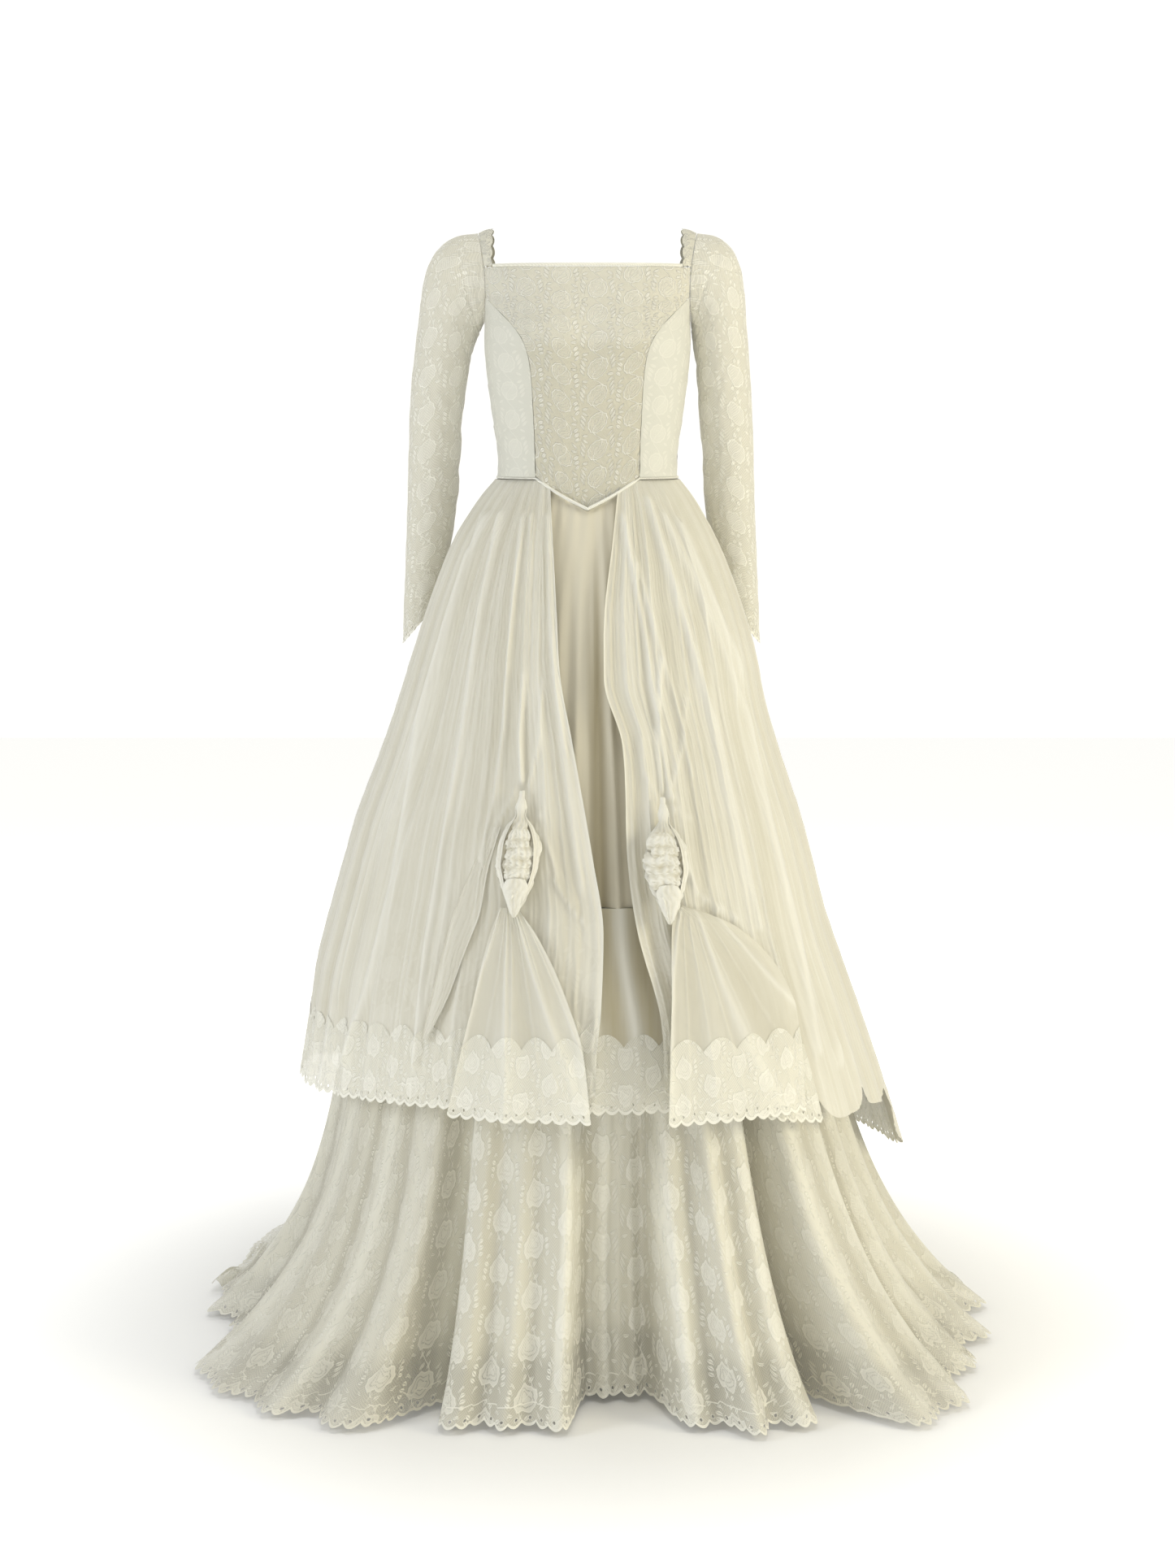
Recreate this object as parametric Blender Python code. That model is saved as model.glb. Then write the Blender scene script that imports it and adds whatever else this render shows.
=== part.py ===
# Ivory wedding dress with long lace sleeves, open overskirt and lace tier
# All lengths are metres. +Z is up, the front of the dress faces -Y, the
# origin is the middle of the shoulder line, the floor is at FLOOR_Z.
import math

import bpy
import bmesh
from mathutils import Vector

# Driving sizes
FLOOR_Z = -1.455
WAIST_Z = -0.318
POINT_Z = -0.357
POINT_HALF = 0.067
TIER_Z = -0.845
HEM_RISE = 0.005
SATIN = 0.0015
LACE = 0.0014
CHIFFON = 0.0012
SEAM = 0.0003
EDGE_SEAM = 0.0005
PIPE_GAP = 0.0031
PIPE_SEAT = 0.0026
STRAP_GAP = 0.0008
PIPING_R = 0.0022
BORDER_H = 0.085
EDGING_T = 0.90
TRAIL_EDGE_T = 1.78
SCALLOP = 0.009
LOBE_RISE = 0.030
HEM_SCALLOP = 0.005
EYELET_R = 0.0036
HALF_SEAM_TURN = 0.05
BUD_HALF = 0.0255
BUD_RIDGE = 0.13
BUTTON_COUNT = 7
BUTTON_R = 0.0055
BUTTON_STEP = 0.0385
BUTTON_GAP = 0.0005
BACK_OPEN = 0.0062
NECK_Z = -0.050
BACK_NECK_Z = -0.045
BODICE_POWER = 2.6
SKIRT_POWER = 2.1
ARMHOLE_GAP = 0.0012
DIP_DEPTH = 0.006
DIP_Z = -0.140
DIP_HALF_X = 0.030
DIP_HALF_Z = 0.040
STRAP_IN_X = 0.1250
STRAP_NOTCH = 0.0025
STRAP_FRONT_Y = 0.062
STRAP_BACK_Y = 0.060
NECK_BAND_HALF = 0.1212
SLEEVE_SIDES = 14
CUFF_SCALLOP = 0.004
CENTRE_LEFT_X = -0.045
CENTRE_WIDTH = 0.170
CENTRE_LACE_Z = -1.005
CENTRE_HEM_Z = -1.088
CENTRE_SCALLOPS = 4
FAN_SCALLOPS = 5
FAN_FOLDS = 3.5
FAN_FOLD_DEPTH = 0.004
DRAPE_FOLD_DEPTH = 0.002
TRAIN_START = 100.0
TRAIN_FOLD = 0.022
BUD_LENGTH = 0.148

# Where the rows of each skirt layer lie, as shares of the way down
OVER_SHARES = (0.0, 0.035, 0.12, 0.25, 0.41, 0.58, 0.76, 1.0)
UNDER_SHARES = (0.0, 0.06, 0.20, 0.42, 0.70, 1.0)
TIER_SHARES = (0.0, 0.17, 0.37, 0.58, 0.76, EDGING_T)
TRAIN_SHARES = (0.0, 0.17, 0.37, 0.58, 0.76, 0.92, 1.05, 1.28, 1.52, TRAIL_EDGE_T)

# Bodice sections: height, half width, front depth, back depth
BODICE = (
    # z, half_width, front, back
    (0.000, 0.1400, 0.070, 0.066),
    (-0.050, 0.1380, 0.088, 0.082),
    (-0.090, 0.1350, 0.102, 0.090),
    (-0.118, 0.1340, 0.111, 0.090),
    (-0.140, 0.1345, 0.114, 0.088),
    (-0.165, 0.1335, 0.112, 0.084),
    (-0.200, 0.1300, 0.104, 0.078),
    (-0.245, 0.1240, 0.095, 0.073),
    (-0.285, 0.1185, 0.089, 0.072),
    (-0.318, 0.1180, 0.088, 0.075),
    (-0.357, 0.1280, 0.099, 0.090),
)

# Half width of the lace front panel, wide at the neck, narrow at the waist
FRONT_PANEL = (
    # z, half_width
    (-0.098, 0.1220),
    (-0.112, 0.1080),
    (-0.128, 0.0930),
    (-0.150, 0.0800),
    (-0.180, 0.0730),
    (-0.225, 0.0700),
    (-0.270, 0.0680),
    (-0.318, 0.0670),
)

# Heights shared by the panels that meet at the bodice seams
UNDERARM_TOP = -0.087
PANEL_ROWS = (-0.1065, -0.118, -0.133, -0.155, -0.190, -0.235, -0.280)

# Sleeve rings, outer point, inner point, half depth, shift back, inward bow
SLEEVE = (
    # out_x, out_z, in_x, in_z, half_depth, back_shift, bow
    (0.1430, -0.003, 0.1355, -0.118, 0.052, 0.000, 0.006),
    (0.1700, -0.008, 0.1365, -0.126, 0.051, 0.001, 0.003),
    (0.1920, -0.026, 0.1385, -0.136, 0.049, 0.002, 0.000),
    (0.2060, -0.062, 0.1415, -0.150, 0.047, 0.004, 0.000),
    (0.2130, -0.125, 0.1465, -0.180, 0.045, 0.010, 0.000),
    (0.2210, -0.205, 0.1520, -0.235, 0.042, 0.022, 0.000),
    (0.2260, -0.290, 0.1570, -0.300, 0.039, 0.040, 0.000),
    (0.2300, -0.370, 0.1640, -0.370, 0.036, 0.064, 0.000),
    (0.2350, -0.440, 0.1800, -0.440, 0.031, 0.094, 0.000),
    (0.2380, -0.485, 0.1880, -0.480, 0.029, 0.108, 0.000),
    (0.2410, -0.547, 0.1930, -0.492, 0.028, 0.116, 0.000),
)

# How far each arm hangs off the mirrored line, outward at the cuff
SLEEVE_HANG = {-1: 0.012, 1: -0.005}

# Overskirt sections: height, half width left and right, front and back depth
SKIRT = (
    # z, left, right, front, back
    (-0.318, 0.1185, 0.1185, 0.0885, 0.0755),
    (-0.345, 0.1400, 0.1380, 0.1020, 0.1020),
    (-0.400, 0.1740, 0.1680, 0.1330, 0.1430),
    (-0.470, 0.2020, 0.1950, 0.1650, 0.1820),
    (-0.545, 0.2260, 0.2170, 0.1950, 0.2160),
    (-0.610, 0.2460, 0.2290, 0.2200, 0.2440),
    (-0.680, 0.2700, 0.2490, 0.2450, 0.2730),
    (-0.760, 0.3000, 0.2750, 0.2740, 0.3060),
    (-0.830, 0.3200, 0.2940, 0.2980, 0.3360),
    (-0.890, 0.3370, 0.3090, 0.3190, 0.3620),
    (-0.960, 0.3550, 0.3330, 0.3410, 0.3910),
    (-1.030, 0.3650, 0.3580, 0.3600, 0.4180),
    (-1.110, 0.3780, 0.3850, 0.3800, 0.4450),
    (-1.260, 0.4000, 0.4320, 0.4100, 0.4900),
)

# Depth of the overskirt gathers and the step in to the foundation skirt
GATHER = (
    # z, wave, inset
    (-0.318, 0.0006, 0.0036),
    (-0.345, 0.0030, 0.0060),
    (-0.400, 0.0050, 0.0090),
    (-0.470, 0.0070, 0.0120),
    (-0.610, 0.0100, 0.0170),
    (-0.845, 0.0140, 0.0260),
    (-1.260, 0.0180, 0.0300),
)

# Front edges of the open overskirt
OPEN_FRONT = (
    # z, left_x, right_x
    (-0.318, -0.0480, 0.0400),
    (-0.400, -0.0430, 0.0310),
    (-0.485, -0.0380, 0.0210),
    (-0.565, -0.0330, 0.0200),
    (-0.645, -0.0180, 0.0420),
    (-0.785, 0.0070, 0.0480),
    (-0.870, 0.0190, 0.0600),
    (-0.960, 0.0160, 0.0850),
    (-1.010, 0.0110, 0.0900),
    (-1.110, 0.0080, 0.0920),
)

# Overskirt hem height round the skirt
OVER_HEM = (
    # angle, z
    (-180.0, -1.245),
    (-140.0, -1.190),
    (-100.0, -1.118),
    (-70.0, -1.104),
    (-40.0, -1.088),
    (-20.0, -1.080),
    (0.0, -1.062),
    (20.0, -1.092),
    (45.0, -1.118),
    (62.0, -1.124),
    (78.0, -1.140),
    (88.0, -1.205),
    (97.0, -1.238),
    (110.0, -1.248),
    (140.0, -1.250),
    (180.0, -1.245),
)

# Lace tier hem on the floor, deep folds at the open front
TIER_HEM = (
    # angle, radius
    (-100.0, 0.5210),
    (-95.0, 0.5100),
    (-89.0, 0.5200),
    (-83.5, 0.4740),
    (-77.5, 0.4860),
    (-71.0, 0.5060),
    (-65.0, 0.5620),
    (-60.0, 0.5540),
    (-55.0, 0.5720),
    (-49.5, 0.5440),
    (-44.0, 0.5620),
    (-39.5, 0.5260),
    (-35.0, 0.5460),
    (-31.0, 0.5300),
    (-28.0, 0.4500),
    (-25.0, 0.3950),
    (-22.5, 0.4720),
    (-19.5, 0.4860),
    (-16.0, 0.4560),
    (-12.5, 0.4720),
    (-9.0, 0.4500),
    (-5.5, 0.4650),
    (-3.0, 0.4560),
    (-1.4, 0.3700),
    (0.6, 0.3400),
    (3.5, 0.3520),
    (6.5, 0.3400),
    (9.5, 0.3520),
    (12.0, 0.3380),
    (13.3, 0.3600),
    (14.8, 0.4520),
    (17.0, 0.4740),
    (20.0, 0.4660),
    (23.5, 0.5240),
    (27.0, 0.4930),
    (30.5, 0.5230),
    (33.8, 0.5020),
    (36.0, 0.4150),
    (38.2, 0.4300),
    (41.0, 0.5760),
    (44.5, 0.6060),
    (48.5, 0.5850),
    (53.0, 0.5960),
    (58.0, 0.5300),
    (64.0, 0.5580),
    (71.0, 0.5120),
    (78.0, 0.5460),
    (86.0, 0.5140),
    (93.0, 0.5460),
    (100.0, 0.5210),
)

# How straight the tier falls before it flares onto the floor
TIER_FALL = (
    # angle, straight
    (-180.0, 0.60),
    (-100.0, 0.38),
    (-60.0, 0.34),
    (-35.0, 0.48),
    (-25.0, 0.72),
    (25.0, 0.72),
    (40.0, 0.62),
    (60.0, 0.56),
    (100.0, 0.54),
    (180.0, 0.60),
)

# Train: angle, where the cloth meets the floor, where it ends
TRAIN = (
    # angle, touch, end
    (100.0, 0.5210, 0.5380),
    (112.0, 0.5100, 0.5420),
    (126.0, 0.5060, 0.5920),
    (140.0, 0.5060, 0.6460),
    (154.0, 0.5040, 0.7350),
    (167.0, 0.5000, 0.8150),
    (180.0, 0.5000, 0.8500),
)

# Swag fans under the rosettes; the last stretch of each is its lace border
FAN_LEFT = (
    # z, left_x, right_x, lift
    (-0.838, -0.1000, -0.0800, 0.0232),
    (-0.870, -0.1130, -0.0590, 0.0190),
    (-0.910, -0.1230, -0.0380, 0.0200),
    (-0.955, -0.1320, -0.0200, 0.0220),
    (-1.000, -0.1420, -0.0060, 0.0240),
    (-1.088, -0.1600, 0.0040, 0.0280),
)
FAN_RIGHT = (
    # z, left_x, right_x, lift
    (-0.838, 0.0970, 0.1420, 0.0284),
    (-0.865, 0.0965, 0.1950, 0.0210),
    (-0.910, 0.0960, 0.2330, 0.0220),
    (-0.955, 0.0950, 0.2410, 0.0240),
    (-1.005, 0.0930, 0.2480, 0.0260),
    (-1.093, 0.0900, 0.2520, 0.0300),
)

# Folded corner of the left drape
DRAPE_LEFT = (
    # z, left_x, right_x, lift
    (-0.745, -0.1180, -0.1050, 0.0070),
    (-0.797, -0.1400, -0.1200, 0.0082),
    (-0.850, -0.1600, -0.1290, 0.0096),
    (-0.900, -0.1730, -0.1480, 0.0102),
    (-0.950, -0.1850, -0.1660, 0.0117),
    (-1.002, -0.1970, -0.1900, 0.0127),
)

# Rosette body: share of the length, share of the half width
ROSETTE = (
    # along, width
    (0.000, 0.10),
    (0.060, 0.26),
    (0.120, 0.36),
    (0.190, 0.24),
    (0.300, 0.66),
    (0.430, 0.96),
    (0.560, 1.00),
    (0.700, 0.80),
    (0.850, 0.44),
    (1.000, 0.10),
)

# Rosettes at the top of each fan
ROSETTES = (
    # place, tip_x, foot_x, tip_z, tip_lift, foot_lift, spin
    ("left", -0.081, -0.090, -0.700, 0.0168, 0.0308, 1.0),
    ("right", 0.093, 0.101, -0.708, 0.0224, 0.0364, -1.0),
)

# Lace tier panels; the fine ones show in front and have eyelets at the hem
TIER_PANELS = (
    # place, first_angle, last_angle, fine
    ("side_left", -100.0, -25.0, False),
    ("front_left", -25.0, -1.4, True),
    ("front_centre", -1.4, 13.3, True),
    ("front_right", 13.3, 36.0, True),
    ("side_right", 36.0, 100.0, False),
)

# Overskirt panels; an edge follows the open front
OVER_PANELS = (
    # place, first_angle, last_angle, columns, edge
    ("front_left", -48.0, 0.0, 15, "left"),
    ("side_left", -97.0, -48.0, 15, None),
    ("back_left", -180.0, -97.0, 21, None),
    ("front_right", 0.0, 48.0, 15, "right"),
    ("side_right", 48.0, 97.0, 15, None),
    ("back_right", 97.0, 180.0, 21, None),
)

# Colours
IVORY_SATIN = (0.83, 0.82, 0.74, 1.0)
IVORY_LACE = (0.80, 0.79, 0.71, 1.0)
IVORY_CHIFFON = (0.78, 0.77, 0.67, 1.0)


def clear_scene():
    for thing in list(bpy.data.objects):
        bpy.data.objects.remove(thing, do_unlink=True)


def material(name, colour, roughness):
    made = bpy.data.materials.new(name)
    made.use_nodes = True
    shader = made.node_tree.nodes["Principled BSDF"]
    shader.inputs["Base Color"].default_value = colour
    shader.inputs["Roughness"].default_value = roughness
    shader.inputs["Metallic"].default_value = 0.0
    return made


def look(table, key, column):
    """Smooth value of one table column; rows run up or down in their first column."""
    rows = table if table[0][0] < table[-1][0] else table[::-1]
    if key <= rows[0][0]:
        return rows[0][column]
    if key >= rows[-1][0]:
        return rows[-1][column]
    index = 0
    while rows[index + 1][0] < key:
        index += 1
    low = rows[index]
    high = rows[index + 1]
    before = rows[max(index - 1, 0)]
    after = rows[min(index + 2, len(rows) - 1)]
    span = high[0] - low[0]
    t = (key - low[0]) / span
    slope = (high[column] - low[column]) / span
    slope_low = (high[column] - before[column]) / (high[0] - before[0])
    slope_high = (after[column] - low[column]) / (after[0] - low[0])
    if (high[column] - low[column]) * (low[column] - before[column]) <= 0.0:
        slope_low = 0.0 if index > 0 else slope
    if (after[column] - high[column]) * (high[column] - low[column]) <= 0.0:
        slope_high = 0.0 if index + 2 < len(rows) else slope
    t2 = t * t
    t3 = t2 * t
    value = (2 * t3 - 3 * t2 + 1) * low[column] + (t3 - 2 * t2 + t) * span * slope_low
    return value + (-2 * t3 + 3 * t2) * high[column] + (t3 - t2) * span * slope_high


def spread(low, high, count):
    return [low + (high - low) * step / count for step in range(count + 1)]


def new_object(name, mesh_data, finish):
    mesh_data.materials.append(finish)
    thing = bpy.data.objects.new(name, mesh_data)
    bpy.context.scene.collection.objects.link(thing)
    return thing


def finish_mesh(name, bm, finish, smooth=True):
    bmesh.ops.recalc_face_normals(bm, faces=bm.faces[:])
    bmesh.ops.triangulate(bm, faces=bm.faces[:])
    data = bpy.data.meshes.new(name)
    bm.to_mesh(data)
    bm.free()
    for face in data.polygons:
        face.use_smooth = smooth
    return new_object(name, data, finish)


def grid_normals(rows, closed):
    """Outward direction at each point: down the cloth crossed with along it."""
    result = []
    count = len(rows[0])
    for i, row in enumerate(rows):
        line = []
        for j in range(count):
            left = row[(j - 1) % count] if closed else row[max(j - 1, 0)]
            right = row[(j + 1) % count] if closed else row[min(j + 1, count - 1)]
            up = rows[max(i - 1, 0)][j]
            down = rows[min(i + 1, len(rows) - 1)][j]
            line.append((down - up).cross(right - left).normalized())
        result.append(line)
    return result


def mix(corners, u, v):
    top = corners[0].lerp(corners[1], u)
    low = corners[3].lerp(corners[2], u)
    return top.lerp(low, v)


def wall(name, rows, thick, finish, closed=False, eyelets=(), guides=False, aim=None):
    """One cloth wall: rows of outer points, moved in by the thickness for the inside.

    With guides the first and last columns only steer the direction of the edges.
    An aim gives the outward direction at a point where panels must match exactly.
    """
    normals = grid_normals(rows, closed)
    if aim:
        normals = [[aim(p) for p in row] for row in rows]
    if guides:
        rows = [row[1:-1] for row in rows]
        normals = [line[1:-1] for line in normals]
    bm = bmesh.new()
    outer = [[bm.verts.new(p) for p in row] for row in rows]
    inner = []
    for row, line in zip(rows, normals):
        inner.append([bm.verts.new(p - n * thick) for p, n in zip(row, line)])
    count = len(rows[0])
    spans = count if closed else count - 1
    angles = [math.radians(30.0 + 60.0 * k) for k in range(6)]
    joins = ((1, 1, 0, 1), (0, 1, 1, 2), (0, 1, 2, 3), (0, 0, 3, 4), (1, 0, 4, 5), (1, 0, 5, 0))
    turns = (((1, 1), (0, 1), 1), ((0, 1), (0, 0), 3), ((0, 0), (1, 0), 4), ((1, 0), (1, 1), 0))
    for i in range(len(rows) - 1):
        for j in range(spans):
            k = (j + 1) % count
            loops = []
            for side in (outer, inner):
                corners = (side[i][j], side[i][k], side[i + 1][k], side[i + 1][j])
                if (i, j) not in eyelets:
                    bm.faces.new(corners)
                    continue
                spots = [c.co for c in corners]
                ring = []
                wide = min(0.38, EYELET_R / (spots[1] - spots[0]).length)
                tall = min(0.38, EYELET_R * 1.25 / (spots[3] - spots[0]).length)
                for angle in angles:
                    u = 0.5 + wide * math.cos(angle)
                    v = 0.5 - tall * math.sin(angle)
                    ring.append(bm.verts.new(mix(spots, u, v)))
                at = {(0, 1): corners[0], (1, 1): corners[1], (1, 0): corners[2], (0, 0): corners[3]}
                for cu, cv, first, second in joins:
                    bm.faces.new((at[(cu, cv)], ring[first], ring[second]))
                for one, two, spot in turns:
                    bm.faces.new((at[one], ring[spot], at[two]))
                loops.append(ring)
            if loops:
                front, back = loops
                for first in range(6):
                    second = (first + 1) % 6
                    bm.faces.new((front[first], front[second], back[second], back[first]))
    for i in (0, len(rows) - 1):
        for j in range(spans):
            k = (j + 1) % count
            bm.faces.new((outer[i][j], outer[i][k], inner[i][k], inner[i][j]))
    if not closed:
        for j in (0, count - 1):
            for i in range(len(rows) - 1):
                bm.faces.new((outer[i][j], outer[i + 1][j], inner[i + 1][j], inner[i][j]))
    return finish_mesh(name, bm, finish)


def tube(name, path, radius, finish, sides=6, closed=False):
    """Round cord through the path points."""
    bm = bmesh.new()
    count = len(path)
    rings = []
    for i, spot in enumerate(path):
        before = path[(i - 1) % count] if closed else path[max(i - 1, 0)]
        after = path[(i + 1) % count] if closed else path[min(i + 1, count - 1)]
        along = (after - before).normalized()
        side = along.cross(Vector((0.0, 0.0, 1.0))).normalized()
        up = side.cross(along).normalized()
        ring = []
        for k in range(sides):
            angle = 2.0 * math.pi * k / sides
            reach = side * math.cos(angle) + up * math.sin(angle)
            ring.append(bm.verts.new(spot + reach * radius))
        rings.append(ring)
    for i in range(count if closed else count - 1):
        one = rings[i]
        two = rings[(i + 1) % count]
        for k in range(sides):
            m = (k + 1) % sides
            bm.faces.new((one[k], one[m], two[m], two[k]))
    if not closed:
        bm.faces.new(rings[0])
        bm.faces.new(rings[-1])
    return finish_mesh(name, bm, finish)


# Bodice form
def armhole(phi, gap=0.0):
    """Armhole seam on the right side; phi 0 is the shoulder, 90 the front."""
    out_x, out_z, in_x, in_z, depth, shift, bow = SLEEVE[0]
    c = math.cos(math.radians(phi))
    s = math.sin(math.radians(phi))
    x = (out_x + in_x) / 2.0 + (out_x - in_x) / 2.0 * c - bow * s * s - gap
    return Vector((x, shift - depth * s, (out_z + in_z) / 2.0 + (out_z - in_z) / 2.0 * c))


def armhole_at(z, front, gap):
    out_z = SLEEVE[0][1]
    in_z = SLEEVE[0][3]
    c = (z - (out_z + in_z) / 2.0) / ((out_z - in_z) / 2.0)
    phi = math.degrees(math.acos(max(-1.0, min(1.0, c))))
    return armhole(phi if front else -phi, gap)


def bodice_edge(z, front):
    """Side seam below the underarm, armhole edge above it: point and section width."""
    depth = look(BODICE, z, 2 if front else 3)
    if z <= SLEEVE[0][3]:
        width = look(BODICE, z, 1)
        return Vector((width, 0.0, z)), width, depth
    spot = armhole_at(z, front, ARMHOLE_GAP)
    share = min(abs(spot.y) / depth, 0.98)
    width = spot.x / (1.0 - share ** BODICE_POWER) ** (1.0 / BODICE_POWER)
    return spot, width, depth


def section_angle(x, width):
    return math.asin(min(1.0, (abs(x) / width) ** (BODICE_POWER / 2.0)))


def bodice_point(angle, width, depth, z, side, front):
    x = width * math.sin(angle) ** (2.0 / BODICE_POWER) * side
    y = depth * math.cos(angle) ** (2.0 / BODICE_POWER)
    if front:
        dip = DIP_DEPTH * math.exp(-(x / DIP_HALF_X) ** 2 - ((z - DIP_Z) / DIP_HALF_Z) ** 2)
        return Vector((x, -y + dip, z))
    return Vector((x, y, z))


def bodice_aim(point):
    """Outward direction of the bodice form at a point on it."""
    front = point.y < 0.0
    width = bodice_edge(point.z, front)[1]
    depth = look(BODICE, point.z, 2 if front else 3)
    x = math.copysign((min(abs(point.x) / width, 1.0)) ** (BODICE_POWER - 1.0) / width, point.x)
    y = math.copysign((min(abs(point.y) / depth, 1.0)) ** (BODICE_POWER - 1.0) / depth, point.y)
    return Vector((x, y, 0.0)).normalized()


def waist_z(x, front=True):
    """Height of the waist seam; it drops to a point at the centre front."""
    share = max(0.0, 1.0 - abs(x) / POINT_HALF) if front else 0.0
    return WAIST_Z + (POINT_Z - WAIST_Z) * share


def front_half_width(z):
    if z >= FRONT_PANEL[0][0]:
        return bodice_edge(z, True)[0].x
    return look(FRONT_PANEL, z, 1)


def front_panel_rows():
    heights = (NECK_Z, -0.068, UNDERARM_TOP) + PANEL_ROWS
    rows = []
    for z in heights:
        spot, width, depth = bodice_edge(z, True)
        half = front_half_width(z)
        row = []
        last = section_angle(half - SEAM, width)
        for share in spread(-1.0, 1.0, 10):
            angle = last * abs(share)
            row.append(bodice_point(angle, width, depth, z, 1.0 if share >= 0 else -1.0, True))
        rows.append(row)
    for drop in (0.45, 1.0):
        row = []
        for share in spread(-1.0, 1.0, 10):
            half = look(FRONT_PANEL, WAIST_Z, 1) - SEAM
            goal = waist_z(half * share) + PIPE_GAP
            z = heights[-1] + (goal - heights[-1]) * drop
            spot, width, depth = bodice_edge(z, True)
            side = 1.0 if share >= 0 else -1.0
            angle = section_angle(half * share, width)
            row.append(bodice_point(angle, width, depth, z, side, True))
        rows.append(row)
    return rows


def side_panel_rows(side):
    low = WAIST_Z + PIPE_SEAT
    heights = PANEL_ROWS[1:] + (PANEL_ROWS[-1] + (low - PANEL_ROWS[-1]) * 0.45, low)
    ends = []
    for z in (PANEL_ROWS[0], UNDERARM_TOP):
        spot, width, depth = bodice_edge(z, True)
        half = min(front_half_width(z), width - 1e-6)
        ends.append(bodice_point(section_angle(half, width), width, depth, z - 0.0014, side, True))
    row = [ends[0].lerp(ends[1], share) for share in spread(0.0, 1.0, 5)]
    rows = [row if side > 0 else row[::-1]]
    for z in heights:
        spot, width, depth = bodice_edge(z, True)
        first = section_angle(front_half_width(z) + SEAM, width)
        last = section_angle(min(spot.x, width - 1e-6), width)
        row = []
        for angle in spread(first, last, 5):
            point = bodice_point(angle, width, depth, z, side, True)
            if z <= SLEEVE[0][3] and angle == last:
                point = Vector((point.x, -SEAM, z))
            row.append(point)
        rows.append(row if side > 0 else row[::-1])
    return rows


def back_panel_rows(side):
    heights = (BACK_NECK_Z, -0.070, -0.095) + PANEL_ROWS[1:]
    low = WAIST_Z + PIPE_SEAT
    heights += (PANEL_ROWS[-1] + (low - PANEL_ROWS[-1]) * 0.45, low)
    rows = []
    for z in heights:
        spot, width, depth = bodice_edge(z, False)
        first = section_angle(min(spot.x, width - 1e-6), width)
        last = section_angle(BACK_OPEN, width)
        row = []
        for angle in spread(first, last, 7):
            row.append(bodice_point(angle, width, depth, z, side, False))
        if z <= SLEEVE[0][3]:
            row[0] = Vector((row[0].x, SEAM, z))
        rows.append(row if side > 0 else row[::-1])
    return rows


def strap_end(z):
    """Turn of the armhole where the strap meets the panel top."""
    middle = (SLEEVE[0][1] + SLEEVE[0][3]) / 2.0
    half = (SLEEVE[0][1] - SLEEVE[0][3]) / 2.0
    return math.degrees(math.acos((z + STRAP_GAP - middle) / half))


def strap_rows(side):
    """Lace strap over the shoulder, its neck edge scalloped."""
    rows = []
    front = strap_end(NECK_Z)
    back = strap_end(BACK_NECK_Z)
    outer_line = []
    inner_line = []
    for index, phi in enumerate(spread(front, -back, 14)):
        edge = armhole(phi, ARMHOLE_GAP)
        turn = front if phi > 0 else back
        low = NECK_Z if phi > 0 else BACK_NECK_Z
        reach = math.sin(math.radians(phi)) / math.sin(math.radians(turn))
        y = -reach * (STRAP_FRONT_Y if reach > 0 else STRAP_BACK_Y)
        z = low + STRAP_GAP + (0.0020 - low) * (1.0 - abs(reach) ** 2.2)
        notch = STRAP_NOTCH if index % 2 else 0.0
        inner_line.append(Vector(((STRAP_IN_X - notch) * side, y, z)))
        outer_line.append(Vector((edge.x * side, edge.y, edge.z)))
    for share in (0.0, 0.5, 1.0):
        row = []
        for one, two in zip(outer_line, inner_line):
            lift = Vector((0.0, 0.0, 0.0015 * math.sin(math.pi * share)))
            row.append(one.lerp(two, share) + lift)
        rows.append(row if side > 0 else row[::-1])
    return rows


# Sleeves
def sleeve_rows(side):
    rows = []
    for index, ring in enumerate(SLEEVE):
        out_x, out_z, in_x, in_z, depth, shift, bow = ring
        row = []
        for step in range(SLEEVE_SIDES):
            angle = 2.0 * math.pi * step / SLEEVE_SIDES
            c = math.cos(angle)
            s = math.sin(angle)
            x = (out_x + in_x) / 2.0 + (out_x - in_x) / 2.0 * c - bow * s * s
            x += SLEEVE_HANG[side] * min(1.0, index / 5.0)
            z = (out_z + in_z) / 2.0 + (out_z - in_z) / 2.0 * c
            if index == len(SLEEVE) - 1 and step % 2:
                z += CUFF_SCALLOP
            row.append(Vector((x * side, shift - depth * s, z)))
        rows.append(row[::-1] if side > 0 else row)
    return rows


# Skirt form
def ring_point(angle, z, lift):
    """Point on the skirt form at an angle from the front, moved out by the lift."""
    a = math.radians(angle)
    half = look(SKIRT, z, 1 if angle < 0 else 2)
    depth = look(SKIRT, z, 3 if abs(angle) < 90.0 else 4)
    power = 2.0 / SKIRT_POWER
    c = math.cos(a)
    s = math.sin(a)
    x = (half + lift) * math.copysign(abs(s) ** power, s)
    y = -(depth + lift) * math.copysign(abs(c) ** power, c)
    return Vector((x, y, z))


def angle_of_x(x, z):
    half = look(SKIRT, z, 1 if x < 0 else 2)
    a = math.asin(min(1.0, (abs(x) / half) ** (SKIRT_POWER / 2.0)))
    return math.degrees(math.copysign(a, x))


def over_wave(angle):
    """Gathers of the overskirt, uneven in spacing and depth."""
    drift = 16.0 * math.sin(math.radians(angle * 3.0 + 20.0)) + 9.0 * math.sin(math.radians(angle * 7.0))
    depth = 0.70 + 0.30 * math.sin(math.radians(angle * 5.0 + 40.0))
    return 0.25 + 0.75 * depth * math.cos(math.radians(angle * 40.0 + drift))


def over_point(angle, z, fold_angle=None):
    wave = over_wave(angle if fold_angle is None else fold_angle)
    return ring_point(angle, z, look(GATHER, z, 1) * wave)


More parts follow.
